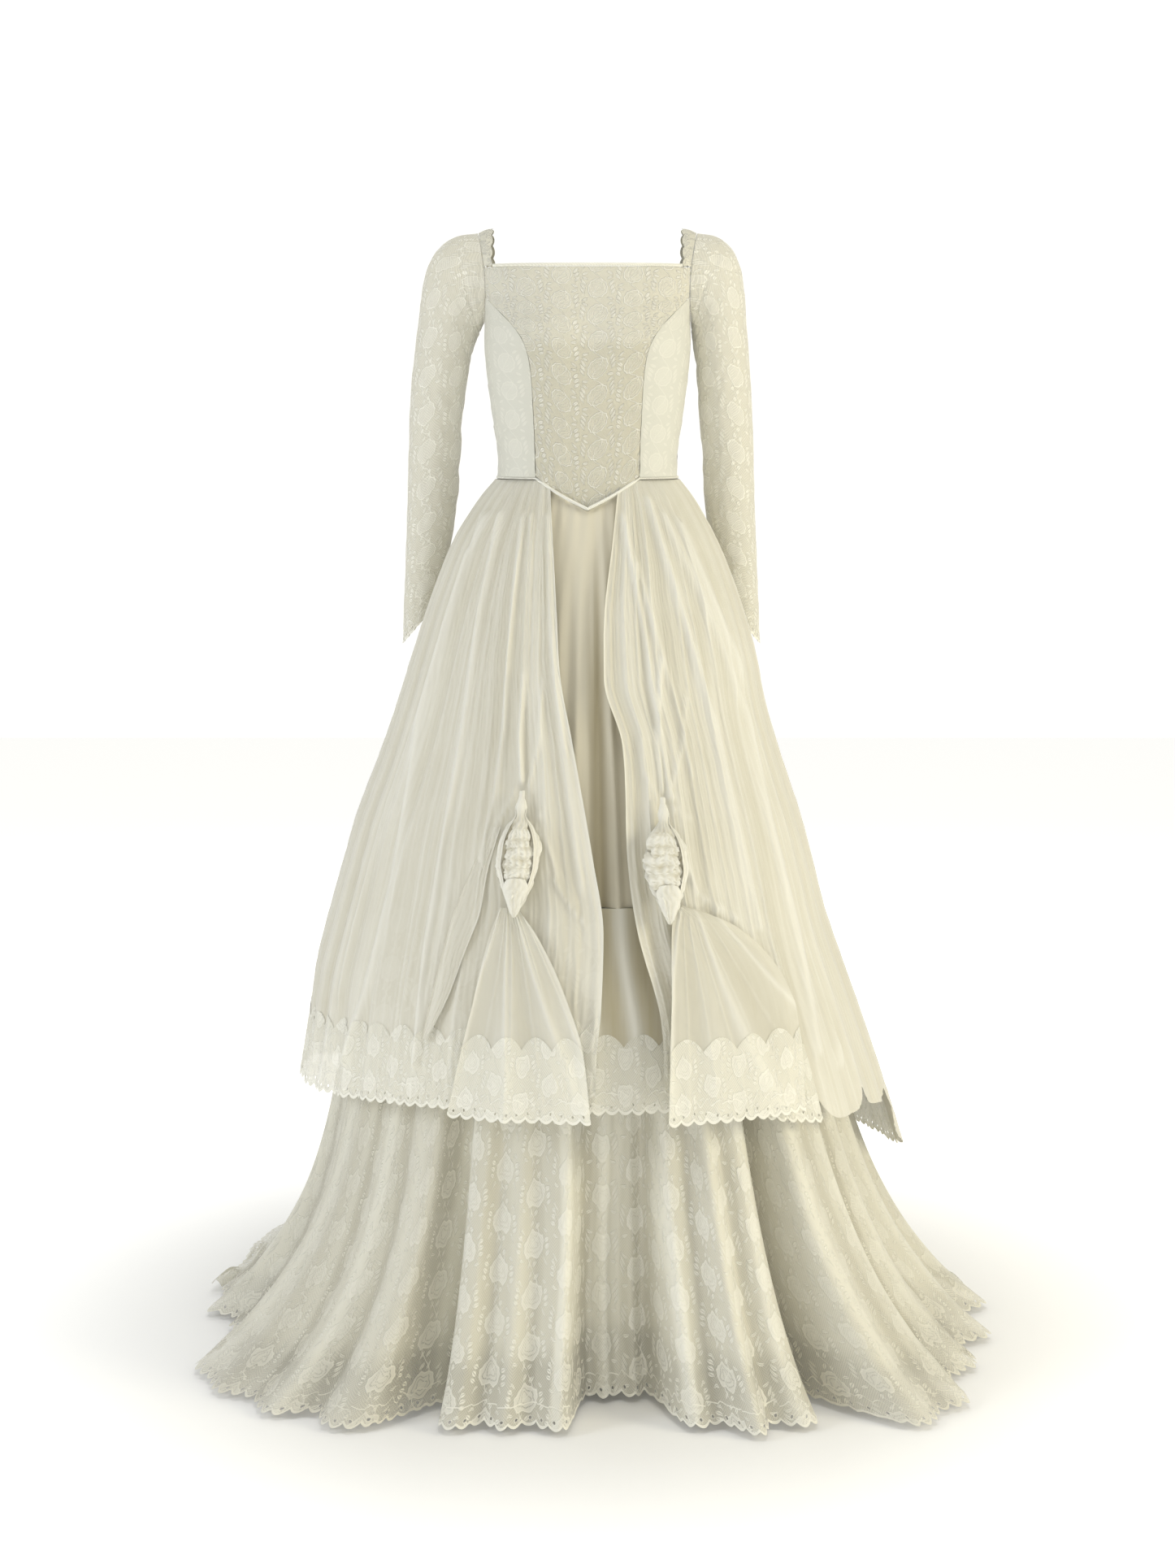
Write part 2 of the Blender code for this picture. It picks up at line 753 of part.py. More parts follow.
def waist_line(angle):
    """Waist seam height at an angle round the skirt."""
    return waist_z(ring_point(angle, WAIST_Z, 0.0).x, abs(angle) < 90.0)


def waist_seat(angle):
    """Gap from the waist seam line to the cloth sewn to its piping."""
    x = ring_point(angle, WAIST_Z, 0.0).x
    return PIPE_GAP if abs(angle) < 90.0 and abs(x) < POINT_HALF + 0.010 else PIPE_SEAT


def panel_angle(first, last, part, z, edge):
    """Angle across a skirt panel whose free edge follows the open front."""
    start = first + math.degrees(0.6 * SEAM / seam_radius(first, z))
    stop = last - math.degrees(0.6 * SEAM / seam_radius(last, z))
    if edge == "left":
        stop = angle_of_x(look(OPEN_FRONT, z, 1), z)
    if edge == "right":
        start = angle_of_x(look(OPEN_FRONT, z, 2), z)
    return start + (stop - start) * part


def seam_radius(angle, z):
    spot = ring_point(angle, z, 0.0)
    return math.hypot(spot.x, spot.y)


def over_rows(first, last, columns, edge=None, plain=False):
    rows = []
    for share in OVER_SHARES:
        row = []
        for step in range(-1, columns + 2):
            part = step / columns
            nominal = first + (last - first) * part
            z_low = look(OVER_HEM, nominal, 1) + BORDER_H + EDGE_SEAM
            z_top = WAIST_Z
            for turn in range(4):
                z_top = waist_line(panel_angle(first, last, part, z_top, edge)) - PIPE_GAP
            z = z_top + (z_low - z_top) * share
            row.append(over_point(panel_angle(first, last, part, z, edge), z, nominal))
        rows.append(row)
    if plain:
        row = []
        for step in range(-1, columns + 2):
            part = step / columns
            nominal = first + (last - first) * part
            z = look(OVER_HEM, nominal, 1) + LOBE_RISE * (2.0 * (part * 3.0 % 1.0) - 1.0) ** 4
            row.append(over_point(panel_angle(first, last, part, z, edge), z, nominal))
        rows.append(row)
    return rows


def scallop_columns(count):
    """Column shares and drop of each: joins are short, middles are full."""
    spots = []
    for index in range(count):
        spots.append((index / count, 0.0))
        spots.append(((index + 0.25) / count, 1.0))
        spots.append(((index + 0.75) / count, 1.0))
    spots.append((1.0, 0.0))
    return spots


def border_rows(first, last, columns, edge=None):
    """Lace border on the overskirt panel's own columns, one scallop to three columns."""
    rows = []
    for share in (0.0, 1.0):
        row = []
        for step in range(-1, columns + 2):
            part = step / columns
            nominal = first + (last - first) * part
            hem = look(OVER_HEM, nominal, 1)
            rise = SCALLOP if step % 3 == 0 else 0.0
            z = hem + BORDER_H + (rise - BORDER_H) * share
            row.append(over_point(panel_angle(first, last, part, z, edge), z, nominal))
        rows.append(row)
    return rows


def eyelet_cells(scallops, row=1):
    return {(row, 3 * index + 1) for index in range(scallops)}


def under_wave(angle):
    return math.cos(math.radians(angle * 12.0 + 18.0 * math.sin(math.radians(angle * 2.0))))


def under_point(angle, z):
    inset = look(GATHER, z, 2)
    wave = 0.12 * inset * under_wave(angle)
    return ring_point(angle, z, wave - inset)


def under_rows(first, last, columns):
    rows = []
    for share in UNDER_SHARES:
        row = []
        for step in range(-1, columns + 2):
            part = step / columns
            nominal = first + (last - first) * part
            z_top = waist_line(nominal) - waist_seat(nominal)
            z = z_top + (TIER_Z + SEAM - z_top) * share
            row.append(under_point(panel_angle(first, last, part, z, None), z))
        rows.append(row)
    return rows


# Centre flounce, a sheer layer under the open front
def flounce_point(x, z):
    angle = angle_of_x(x, z)
    wave = 0.0020 * math.cos(math.radians(angle * 30.0))
    drop = min(1.0, (TIER_Z - z) / 0.10)
    return ring_point(angle, z, -0.0212 + 0.0052 * drop + wave * drop)


# Fans, drape and their borders lie on the overskirt
def patch_point(table, share, z, folds, depth):
    left = look(table, z, 1)
    right = look(table, z, 2)
    lift = look(table, z, 3)
    angle = angle_of_x(left + (right - left) * share, z)
    grow = min(1.0, (table[0][0] - z) / 0.16)
    wave = depth * grow * math.cos(2.0 * math.pi * folds * share)
    return ring_point(angle, z, lift + wave)


def patch_rows(table, z_top, z_low, columns, steps, folds, depth):
    rows = []
    for z in spread(z_top, z_low, steps):
        shares = spread(0.0, 1.0, columns)
        rows.append([patch_point(table, share, z, folds, depth) for share in shares])
    return rows


def patch_border_rows(table, z_top, z_low, scallops, folds, depth):
    rows = []
    for share in (0.0, 0.45, 1.0):
        row = []
        for part, drop in scallop_columns(scallops):
            low = z_low + SCALLOP * (1.0 - drop)
            row.append(patch_point(table, part, z_top + (low - z_top) * share, folds, depth))
        rows.append(row)
    return rows


# Lace tier
def fall(t, straight):
    return straight * t + (1.0 - straight) * t ** 5


def tier_point(angle, t):
    """Lace tier from its seam, t 0, to the floor, t 1."""
    top = under_point(angle, TIER_Z - SEAM)
    a = math.radians(angle)
    along = Vector((math.sin(a), -math.cos(a), 0.0))
    radius = look(TIER_HEM, angle, 1)
    if abs(angle) > TRAIN_START:
        fold = 1.0 - math.cos(math.radians(abs(angle) * 14.0 + 10.0))
        grow = (abs(angle) - TRAIN_START) / (180.0 - TRAIN_START)
        radius = look(TRAIN, abs(angle), 1) - TRAIN_FOLD * fold * t * grow
    spot = top.lerp(along * radius, fall(t, look(TIER_FALL, angle, 1)))
    spot.z = top.z + (FLOOR_Z + HEM_RISE - top.z) * t
    return spot


def train_point(angle, t):
    """Back of the tier: down to the floor at t 1, then along it to the end at t 2."""
    if t <= 1.0:
        return tier_point(angle, t)
    turn = abs(angle)
    foot = tier_point(angle, 1.0)
    reach = math.hypot(foot.x, foot.y)
    a = math.radians(angle)
    radius = reach + (look(TRAIN, turn, 2) - reach) * (t - 1.0)
    ripple = 1.0 + math.cos(math.radians(turn * 14.0 + 10.0))
    bump = 0.006 * ripple * math.sin(math.pi * min(1.0, (t - 1.0) * 0.9))
    z = FLOOR_Z + HEM_RISE - 0.002 * (t - 1.0) + bump
    return Vector((radius * math.sin(a), -radius * math.cos(a), z))


def tier_angles(first, last):
    """Panel columns at each fold line, halved where they are wide, with a guide at each end."""
    lines = [row[0] for row in TIER_HEM if first <= row[0] <= last]
    columns = []
    for one, two in zip(lines, lines[1:]):
        columns.append(one)
        if two - one > 4.0:
            columns.append((one + two) / 2.0)
    columns[0] += HALF_SEAM_TURN
    columns.append(lines[-1] - HALF_SEAM_TURN)
    return [first - 0.9] + columns + [last + 0.9]


def tier_rows(angles):
    rows = []
    for t in TIER_SHARES:
        rows.append([tier_point(angle, t) for angle in angles])
    return rows


def train_angles(first, last, columns):
    start = first + HALF_SEAM_TURN
    stop = last - HALF_SEAM_TURN
    return [start + (stop - start) * step / columns for step in range(-1, columns + 2)]


def train_rows(angles):
    rows = []
    for t in TRAIN_SHARES:
        rows.append([train_point(angle, t) for angle in angles])
    return rows


def between(points, place):
    """Point on the straight line between two neighbouring panel columns."""
    index = min(int(place), len(points) - 2)
    return points[index].lerp(points[index + 1], place - index)


def edging_length(angle, stop):
    """Length of cloth that one step of t covers at an angle."""
    if stop <= 1.0:
        return TIER_Z - FLOOR_Z
    return look(TRAIN, abs(angle), 2) - look(TRAIN, abs(angle), 1)


def edging_rows(angles, start, stop, notch, fine):
    """Scalloped hem lace on its panel's columns, one scallop to each column."""
    spans = len(angles) - 3
    middles = ((0.0, 1.0), (0.25, 0.0), (0.75, 0.0)) if fine else ((0.0, 1.0), (0.5, 0.0))
    places = [(index + m, short) for index in range(1, spans + 1) for m, short in middles]
    places = [(0.9, 0.0)] + places + [(spans + 1.0, 1.0), (spans + 1.1, 0.0)]
    rows = []
    for share in (0.0, 0.45, 1.0) if fine else (0.0, 1.0):
        row = []
        for place, short in places:
            line = []
            for angle in angles:
                cloth = edging_length(angle, stop)
                first = start + 3.0 * SEAM / cloth
                last = stop - min(notch / cloth, 0.35 * (stop - first)) * short
                line.append(train_point(angle, first + (last - first) * share))
            row.append(between(line, place))
        rows.append(row)
    return rows


# Rosettes
def bud_point(top, low, half, along, angle, spin, out=0.0):
    """Surface of the rolled bud, moved out by a distance."""
    width = look(ROSETTE, along, 1)
    ridge = 1.0 + BUD_RIDGE * (math.cos(3.0 * angle + spin * 7.0 * along) if spin else 1.0)
    reach = half * width * ridge + out
    centre = top.lerp(low, along)
    return centre + Vector((reach * math.cos(angle), reach * 0.66 * math.sin(angle), 0.0))


def rosette(name, top, low, half, finish, spin):
    """Rolled cloth bud with a tied tip, ridged where the roll overlaps."""
    bm = bmesh.new()
    rings = []
    sides = 12
    for along, width in ROSETTE:
        ring = []
        for k in range(sides):
            angle = 2.0 * math.pi * k / sides
            ring.append(bm.verts.new(bud_point(top, low, half, along, angle, spin)))
        rings.append(ring)
    for one, two in zip(rings, rings[1:]):
        for k in range(sides):
            m = (k + 1) % sides
            bm.faces.new((one[k], one[m], two[m], two[k]))
    bm.faces.new(rings[0])
    bm.faces.new(rings[-1])
    return finish_mesh(name, bm, finish)


def petal(name, top, low, half, spin, finish):
    """Outer petal, a curved flap wrapped round the front of the bud."""
    rows = []
    for v in spread(-1.0, 1.0, 6):
        row = []
        reach = 1.0 - 0.62 * v * v
        for u in spread(-1.0, 1.0, 6):
            turn = 1.5 * math.pi + spin * math.radians(62.0 * u * reach - 8.0)
            lip = 0.0028 + 0.0050 * u * u * reach
            row.append(bud_point(top, low, half, 0.57 + 0.29 * v + 0.03 * u, turn, 0.0, lip))
        rows.append(row if spin > 0 else row[::-1])
    return wall(name, rows, CHIFFON, finish)


def button(name, centre, finish):
    bm = bmesh.new()
    bmesh.ops.create_uvsphere(bm, u_segments=8, v_segments=4, radius=BUTTON_R)
    for vertex in bm.verts:
        vertex.co = Vector((vertex.co.x, vertex.co.z * 0.55, vertex.co.y))
        vertex.co += centre
    return finish_mesh(name, bm, finish)


def waist_path(steps):
    path = []
    for index in range(steps):
        angle = -180.0 + 360.0 * index / steps
        path.append(ring_point(angle, waist_line(angle), -0.0006))
    return path


def neck_path(front):
    z = NECK_Z if front else BACK_NECK_Z
    spot, width, depth = bodice_edge(z, front)
    path = []
    for x in spread(-NECK_BAND_HALF, NECK_BAND_HALF, 14):
        angle = section_angle(x, width)
        point = bodice_point(angle, width, depth, z, 1.0 if x >= 0 else -1.0, front)
        point.z = z + PIPING_R + SEAM
        inward = 0.0007 if front else -0.0007
        path.append(Vector((point.x, point.y + inward, point.z)))
    return path


def back_y(z):
    return look(BODICE, z, 3)


def build():
    clear_scene()
    satin = material("ivory_satin", IVORY_SATIN, 0.45)
    lace = material("ivory_lace", IVORY_LACE, 0.75)
    sheer = material("ivory_chiffon", IVORY_CHIFFON, 0.65)

    # Bodice
    wall("bodice_front", front_panel_rows(), SATIN, lace, aim=bodice_aim)
    wall("bodice_side_left", side_panel_rows(-1), SATIN, satin, aim=bodice_aim)
    wall("bodice_side_right", side_panel_rows(1), SATIN, satin, aim=bodice_aim)
    wall("bodice_back_left", back_panel_rows(-1), SATIN, satin, aim=bodice_aim)
    wall("bodice_back_right", back_panel_rows(1), SATIN, satin, aim=bodice_aim)
    wall("shoulder_strap_left", strap_rows(-1), LACE, lace)
    wall("shoulder_strap_right", strap_rows(1), LACE, lace)
    tube("neck_band_front", neck_path(True), PIPING_R, satin)
    tube("neck_band_back", neck_path(False), PIPING_R, satin)

    # Back fastening
    spots = [BACK_NECK_Z - 0.018 - index * BUTTON_STEP for index in range(BUTTON_COUNT)]
    rows = []
    for z in [BACK_NECK_Z] + spots + [WAIST_Z + PIPE_SEAT]:
        y = back_y(z)
        half = BACK_OPEN - SEAM
        rows.append([Vector((half, y, z)), Vector((0.0, y + 0.0002, z)), Vector((-half, y, z))])
    wall("back_placket", rows, SATIN, satin)
    for index, z in enumerate(spots):
        y = back_y(z) + 0.0002 + BUTTON_R * 0.55 + BUTTON_GAP
        button("back_button_" + str(index + 1), Vector((0.0, y, z)), satin)

    # Sleeves and waist piping
    wall("sleeve_left", sleeve_rows(-1), LACE, lace, closed=True)
    wall("sleeve_right", sleeve_rows(1), LACE, lace, closed=True)
    tube("waist_piping", waist_path(52), PIPING_R, satin, sides=5, closed=True)

    # Foundation skirt
    wall("underskirt_front", under_rows(-52.0, 52.0, 12), SATIN, satin, guides=True)
    wall("underskirt_left", under_rows(-180.0, -52.0, 11), SATIN, satin, guides=True)
    wall("underskirt_right", under_rows(52.0, 180.0, 11), SATIN, satin, guides=True)

    # Lace tier and train
    for place, first, last, fine in TIER_PANELS:
        angles = tier_angles(first, last)
        wall("tier_" + place, tier_rows(angles), LACE, lace, guides=True)
        rows = edging_rows(angles, EDGING_T, 1.0, HEM_SCALLOP, fine)
        cells = eyelet_cells(len(angles) - 3) if fine else ()
        wall("hem_lace_" + place, rows, LACE, lace, eyelets=cells, guides=True)
    for place, first, last in (("left", -180.0, -TRAIN_START), ("right", TRAIN_START, 180.0)):
        angles = train_angles(first, last, 12)
        wall("train_" + place, train_rows(angles), LACE, lace, guides=True)
        rows = edging_rows(angles, TRAIL_EDGE_T, 2.0, HEM_SCALLOP * 1.6, False)
        wall("hem_lace_train_" + place, rows, LACE, lace, guides=True)

    # Overskirt and its lace borders
    for place, first, last, columns, edge in OVER_PANELS:
        plain = place == "side_right"
        rows = over_rows(first, last, columns, edge, plain)
        wall("overskirt_" + place, rows, CHIFFON, sheer, guides=True)
        if plain:
            continue
        rows = border_rows(first, last, columns, edge)
        wall("border_" + place, rows, LACE, lace, guides=True)

    # Centre flounce
    places = spread(CENTRE_LEFT_X, CENTRE_LEFT_X + CENTRE_WIDTH, 10)
    heights = spread(TIER_Z, CENTRE_LACE_Z, 4)
    wall("centre_flounce", [[flounce_point(x, z) for x in places] for z in heights], CHIFFON, sheer)
    top = CENTRE_LACE_Z - EDGE_SEAM
    rows = []
    for share in (0.0, 0.45, 1.0):
        row = []
        for part, drop in scallop_columns(CENTRE_SCALLOPS):
            hem = CENTRE_HEM_Z + SCALLOP * (1.0 - drop)
            row.append(flounce_point(CENTRE_LEFT_X + CENTRE_WIDTH * part, top + (hem - top) * share))
        rows.append(row)
    wall("border_centre", rows, LACE, lace, eyelets=eyelet_cells(CENTRE_SCALLOPS))

    # Swag fans and drape
    for place, table in (("left", FAN_LEFT), ("right", FAN_RIGHT)):
        top, seam, hem = table[0][0], table[-2][0], table[-1][0]
        rows = patch_rows(table, top, seam, 12, 5, FAN_FOLDS, FAN_FOLD_DEPTH)
        wall("fan_" + place, rows, CHIFFON, sheer)
        rows = patch_border_rows(table, seam - EDGE_SEAM, hem, FAN_SCALLOPS, FAN_FOLDS, FAN_FOLD_DEPTH)
        wall("border_fan_" + place, rows, LACE, lace, eyelets=eyelet_cells(FAN_SCALLOPS))
    rows = patch_rows(DRAPE_LEFT, DRAPE_LEFT[0][0], DRAPE_LEFT[-1][0], 4, 6, 1.0, DRAPE_FOLD_DEPTH)
    wall("drape_left", rows, CHIFFON, sheer)

    # Rosettes
    for place, tip_x, foot_x, tip_z, tip_lift, foot_lift, spin in ROSETTES:
        foot_z = tip_z - BUD_LENGTH
        top = ring_point(angle_of_x(tip_x, tip_z), tip_z, tip_lift)
        low = ring_point(angle_of_x(foot_x, foot_z), foot_z, foot_lift)
        top.x = tip_x
        low.x = foot_x
        rosette("rosette_" + place, top, low, BUD_HALF, sheer, spin)
        petal("petal_" + place, top, low, BUD_HALF, spin, sheer)


build()
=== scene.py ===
import math

import bpy
import numpy as np
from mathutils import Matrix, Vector


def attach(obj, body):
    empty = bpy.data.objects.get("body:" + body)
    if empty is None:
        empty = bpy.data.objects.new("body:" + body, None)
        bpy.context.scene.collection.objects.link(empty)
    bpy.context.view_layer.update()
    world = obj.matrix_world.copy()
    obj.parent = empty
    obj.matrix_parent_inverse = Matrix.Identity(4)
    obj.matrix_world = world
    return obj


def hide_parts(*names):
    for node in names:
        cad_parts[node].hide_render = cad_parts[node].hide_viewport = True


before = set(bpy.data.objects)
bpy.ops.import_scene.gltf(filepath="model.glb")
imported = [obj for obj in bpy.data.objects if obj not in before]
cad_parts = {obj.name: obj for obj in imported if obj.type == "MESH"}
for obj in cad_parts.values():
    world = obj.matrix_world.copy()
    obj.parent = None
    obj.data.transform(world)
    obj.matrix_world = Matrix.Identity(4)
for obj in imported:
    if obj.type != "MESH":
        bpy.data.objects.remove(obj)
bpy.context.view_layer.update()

# Room: the camera stands 3.6 m in front of the dress, 1.2 m above a pale
# floor, and looks slightly down. Large soft lights stand on both sides, cooler
# on the left and warmer on the right, and the floor fades into a white wall.
FLOOR_Z = -1.455
CAMERA_AWAY = 3.6
CAMERA_HEIGHT = 1.2
CAMERA_DOWN = 7.45
CAMERA_LENS = 62.39
ROOM_LIGHT = 0.45
WALL_SEEN = 1.08
FLOOR_GAP = 0.0025
MIDDLE_Z = -0.75
LIGHTS = (
    # name, across, toward, up, size, watts, colour
    ("left window", -3.4, -1.5, 0.5, 1.5, 42.0, (0.91, 0.95, 1.0)),
    ("right window", 3.2, -1.3, 0.1, 1.5, 54.0, (1.0, 0.92, 0.68)),
    ("ceiling", 0.3, -0.9, 2.3, 1.6, 26.0, (1.0, 0.985, 0.92)),
    ("low front", 0.0, -3.1, -1.25, 1.0, 9.0, (1.0, 0.985, 0.94)),
    ("back", 0.0, 3.2, 1.2, 2.4, 26.0, (1.0, 0.99, 0.95)),
)

bpy.ops.object.select_all(action="DESELECT")
bpy.ops.object.camera_add(location=(0.0, -CAMERA_AWAY, FLOOR_Z + CAMERA_HEIGHT))
camera = bpy.context.object
camera.name = "front camera"
camera.rotation_euler = (math.radians(90.0 - CAMERA_DOWN), 0.0, 0.0)
camera.data.sensor_fit = "VERTICAL"
camera.data.sensor_height = 36.0
camera.data.lens = CAMERA_LENS
camera.data.clip_end = 60.0
bpy.context.scene.camera = camera

for light_name, across, toward, up, size, watts, colour in LIGHTS:
    bpy.ops.object.light_add(type="AREA", location=(across, toward, up))
    lamp = bpy.context.object
    lamp.name = light_name
    lamp.data.shape = "DISK"
    lamp.data.size = size
    lamp.data.energy = watts
    lamp.data.color = colour
    aim = Vector((0.0, 0.0, MIDDLE_Z)) - lamp.location
    lamp.rotation_euler = aim.to_track_quat("-Z", "Y").to_euler()

room = bpy.data.worlds.new("white room")
room.use_nodes = True
room_light = room.node_tree.nodes["Background"]
room_light.inputs["Color"].default_value = (0.985, 0.98, 0.945, 1.0)
room_seen = room.node_tree.nodes.new("ShaderNodeLightPath")
room_level = room.node_tree.nodes.new("ShaderNodeMapRange")
room_level.inputs["To Min"].default_value = ROOM_LIGHT
room_level.inputs["To Max"].default_value = WALL_SEEN
room.node_tree.links.new(room_seen.outputs["Is Camera Ray"], room_level.inputs["Value"])
room.node_tree.links.new(room_level.outputs["Result"], room_light.inputs["Strength"])
bpy.context.scene.world = room
bpy.context.scene.view_settings.view_transform = "Standard"

bpy.ops.mesh.primitive_plane_add(size=14.0, location=(0.0, 0.0, FLOOR_Z - FLOOR_GAP))
floor = bpy.context.object
floor.name = "floor"
floor_paint = bpy.data.materials.new("white floor")
floor_paint.use_nodes = True
floor_nodes = floor_paint.node_tree.nodes
floor_coat = floor_nodes["Principled BSDF"]
floor_cloud = floor_nodes.new("ShaderNodeTexNoise")
floor_cloud.inputs["Scale"].default_value = 1.3
floor_tone = floor_nodes.new("ShaderNodeMapRange")
floor_tone.inputs["To Min"].default_value = 0.86
floor_tone.inputs["To Max"].default_value = 0.90
floor_paint.node_tree.links.new(floor_cloud.outputs["Fac"], floor_tone.inputs["Value"])
floor_paint.node_tree.links.new(floor_tone.outputs["Result"], floor_coat.inputs["Base Color"])
floor_coat.inputs["Roughness"].default_value = 0.6
# The floor glows with painted light: almost none within 0.35 m of the middle and full beyond 1.15 m,
# so a painted soft shadow lies round the hem.
floor_coat.inputs["Emission Color"].default_value = (1.0, 0.995, 0.965, 1.0)
floor_place = floor_nodes.new("ShaderNodeTexCoord")
floor_away = floor_nodes.new("ShaderNodeVectorMath")
floor_away.operation = "LENGTH"
floor_painted_glow = floor_nodes.new("ShaderNodeMapRange")
floor_painted_glow.interpolation_type = "SMOOTHSTEP"
floor_painted_glow.inputs["From Min"].default_value = 0.35
floor_painted_glow.inputs["From Max"].default_value = 1.15
floor_painted_glow.inputs["To Min"].default_value = 0.02
floor_painted_glow.inputs["To Max"].default_value = 0.58
floor_paint.node_tree.links.new(floor_place.outputs["Object"], floor_away.inputs[0])
floor_paint.node_tree.links.new(floor_away.outputs["Value"], floor_painted_glow.inputs["Value"])
floor_paint.node_tree.links.new(floor_painted_glow.outputs["Result"], floor_coat.inputs["Emission Strength"])
floor.data.materials.append(floor_paint)


# Lace front of the bodice: rose lace laid over a satin lining, wide at the
# square neck and armholes, narrow at the waist, where it ends in a point. It
# is sewn to the side panels along curved seams.
NECK_Z = -0.050
WAIST_Z = -0.318
POINT_Z = -0.357
POINT_HALF = 0.067
PIPE_GAP = 0.0024
BODICE_POWER = 2.6
ARMHOLE_GAP = 0.0012
BODICE = (
    # z, half_width, front, back
    (0.000, 0.1400, 0.070, 0.066),
    (-0.050, 0.1380, 0.088, 0.082),
    (-0.090, 0.1350, 0.102, 0.090),
    (-0.118, 0.1340, 0.111, 0.090),
    (-0.140, 0.1345, 0.114, 0.088),
    (-0.165, 0.1335, 0.112, 0.084),
    (-0.200, 0.1300, 0.104, 0.078),
    (-0.245, 0.1240, 0.095, 0.073),
    (-0.285, 0.1185, 0.089, 0.072),
    (-0.318, 0.1180, 0.088, 0.075),
    (-0.357, 0.1280, 0.099, 0.090),
)
FRONT_SEAM = (
    # z, half_width of the lace panel
    (-0.1065, 0.1130),
    (-0.128, 0.0930),
    (-0.150, 0.0800),
    (-0.180, 0.0730),
    (-0.225, 0.0700),
    (-0.270, 0.0680),
    (-0.318, 0.0670),
)
SEAM_TOP_Z = -0.087
# out_x, out_z, in_x, in_z, half_depth, bow
ARMHOLE = (0.1430, -0.003, 0.1355, -0.118, 0.052, 0.006)
HALF_SEAM = 0.0003
DIP_DEPTH = 0.006
DIP_Z = -0.140
DIP_HALF_X = 0.030
DIP_HALF_Z = 0.040
NET_MESH = 0.0024
BUST_EDGE_Z = -0.146
CENTRE_ACROSS = 3.0
LEAST_FILL = 0.32
MOST_FILL = 0.99
THREAD = (0.80, 0.785, 0.70)
GROUND = (0.56, 0.535, 0.43)
ROSE_R = 0.0170
LEAVES = (
    # across, up, turn, length, half_width
    (0.0185, 0.0020, 52.0, 0.0150, 0.0023),
    (0.0200, -0.0050, 52.0, 0.0150, 0.0023),
    (0.0212, -0.0120, 52.0, 0.0140, 0.0021),
    (-0.0185, 0.0050, 128.0, 0.0150, 0.0023),
    (-0.0200, -0.0020, 128.0, 0.0150, 0.0023),
    (-0.0212, -0.0090, 128.0, 0.0140, 0.0021),
    (0.0150, 0.0145, 25.0, 0.0120, 0.0021),
    (-0.0150, 0.0160, 155.0, 0.0120, 0.0021),
    (0.0150, -0.0165, -25.0, 0.0120, 0.0021),
    (-0.0150, -0.0155, 205.0, 0.0120, 0.0021),
    (0.0030, 0.0185, 60.0, 0.0120, 0.0021),
    (-0.0060, 0.0180, 60.0, 0.0120, 0.0021),
    (-0.0030, -0.0185, 240.0, 0.0120, 0.0021),
    (0.0060, -0.0180, 240.0, 0.0120, 0.0021),
)


def smooth_at(table, column, at):
    """Smooth value of one table column at many places at once."""
    rows = sorted(table)
    keys = np.array([row[0] for row in rows])
    values = np.array([row[column] for row in rows])
    at = np.clip(at, keys[0], keys[-1])
    rise = np.diff(values) / np.diff(keys)
    slope = np.empty(len(keys))
    slope[0] = rise[0]
    slope[-1] = rise[-1]
    middle = (values[2:] - values[:-2]) / (keys[2:] - keys[:-2])
    slope[1:-1] = np.where(rise[1:] * rise[:-1] <= 0.0, 0.0, middle)
    i = np.clip(np.searchsorted(keys, at, side="right") - 1, 0, len(keys) - 2)
    span = keys[i + 1] - keys[i]
    t = (at - keys[i]) / span
    low = (2 * t**3 - 3 * t**2 + 1) * values[i] + (t**3 - 2 * t**2 + t) * span * slope[i]
    return low + (3 * t**2 - 2 * t**3) * values[i + 1] + (t**3 - t**2) * span * slope[i + 1]


def ease(low, high, at):
    """Soft step from 0 at low to 1 at high."""
    t = np.clip((at - low) / (high - low), 0.0, 1.0)
    return t * t * (3.0 - 2.0 * t)


def crumple(across, down, seed=0.0):
    """Uneven soft creases, between about -1 and 1, from a few crossed waves."""
    bend = 1.7 * np.sin(1.3 * down + seed) + 1.1 * np.sin(0.7 * across + 2.0 * seed)
    first = np.sin(2.1 * across + 1.3 * down + bend + seed)
    second = np.sin(-1.4 * across + 2.9 * down + 1.6 * first + 3.0 * seed)
    third = np.sin(4.3 * across + 3.7 * down + 1.9 * second + 5.0 * seed)
    return 0.50 * first + 0.32 * second + 0.18 * third


def run_length(spots, axis):
    """Distance along the cloth from its first row or column, in metres."""
    steps = np.linalg.norm(np.diff(spots, axis=axis), axis=2)
    start = np.zeros_like(np.take(steps, [0], axis=axis))
    return np.concatenate([start, np.cumsum(steps, axis=axis)], axis=axis)


def grid(columns, rows):
    """Shares across and down the cloth, one for each point of a sheet."""
    return np.meshgrid(np.linspace(0.0, 1.0, columns + 1), np.linspace(0.0, 1.0, rows + 1))


def around_each(places):
    """The four corners of every little square of a grid, from its rows of values."""
    return np.stack([places[:-1, :-1], places[1:, :-1], places[1:, 1:], places[:-1, 1:]], axis=2)


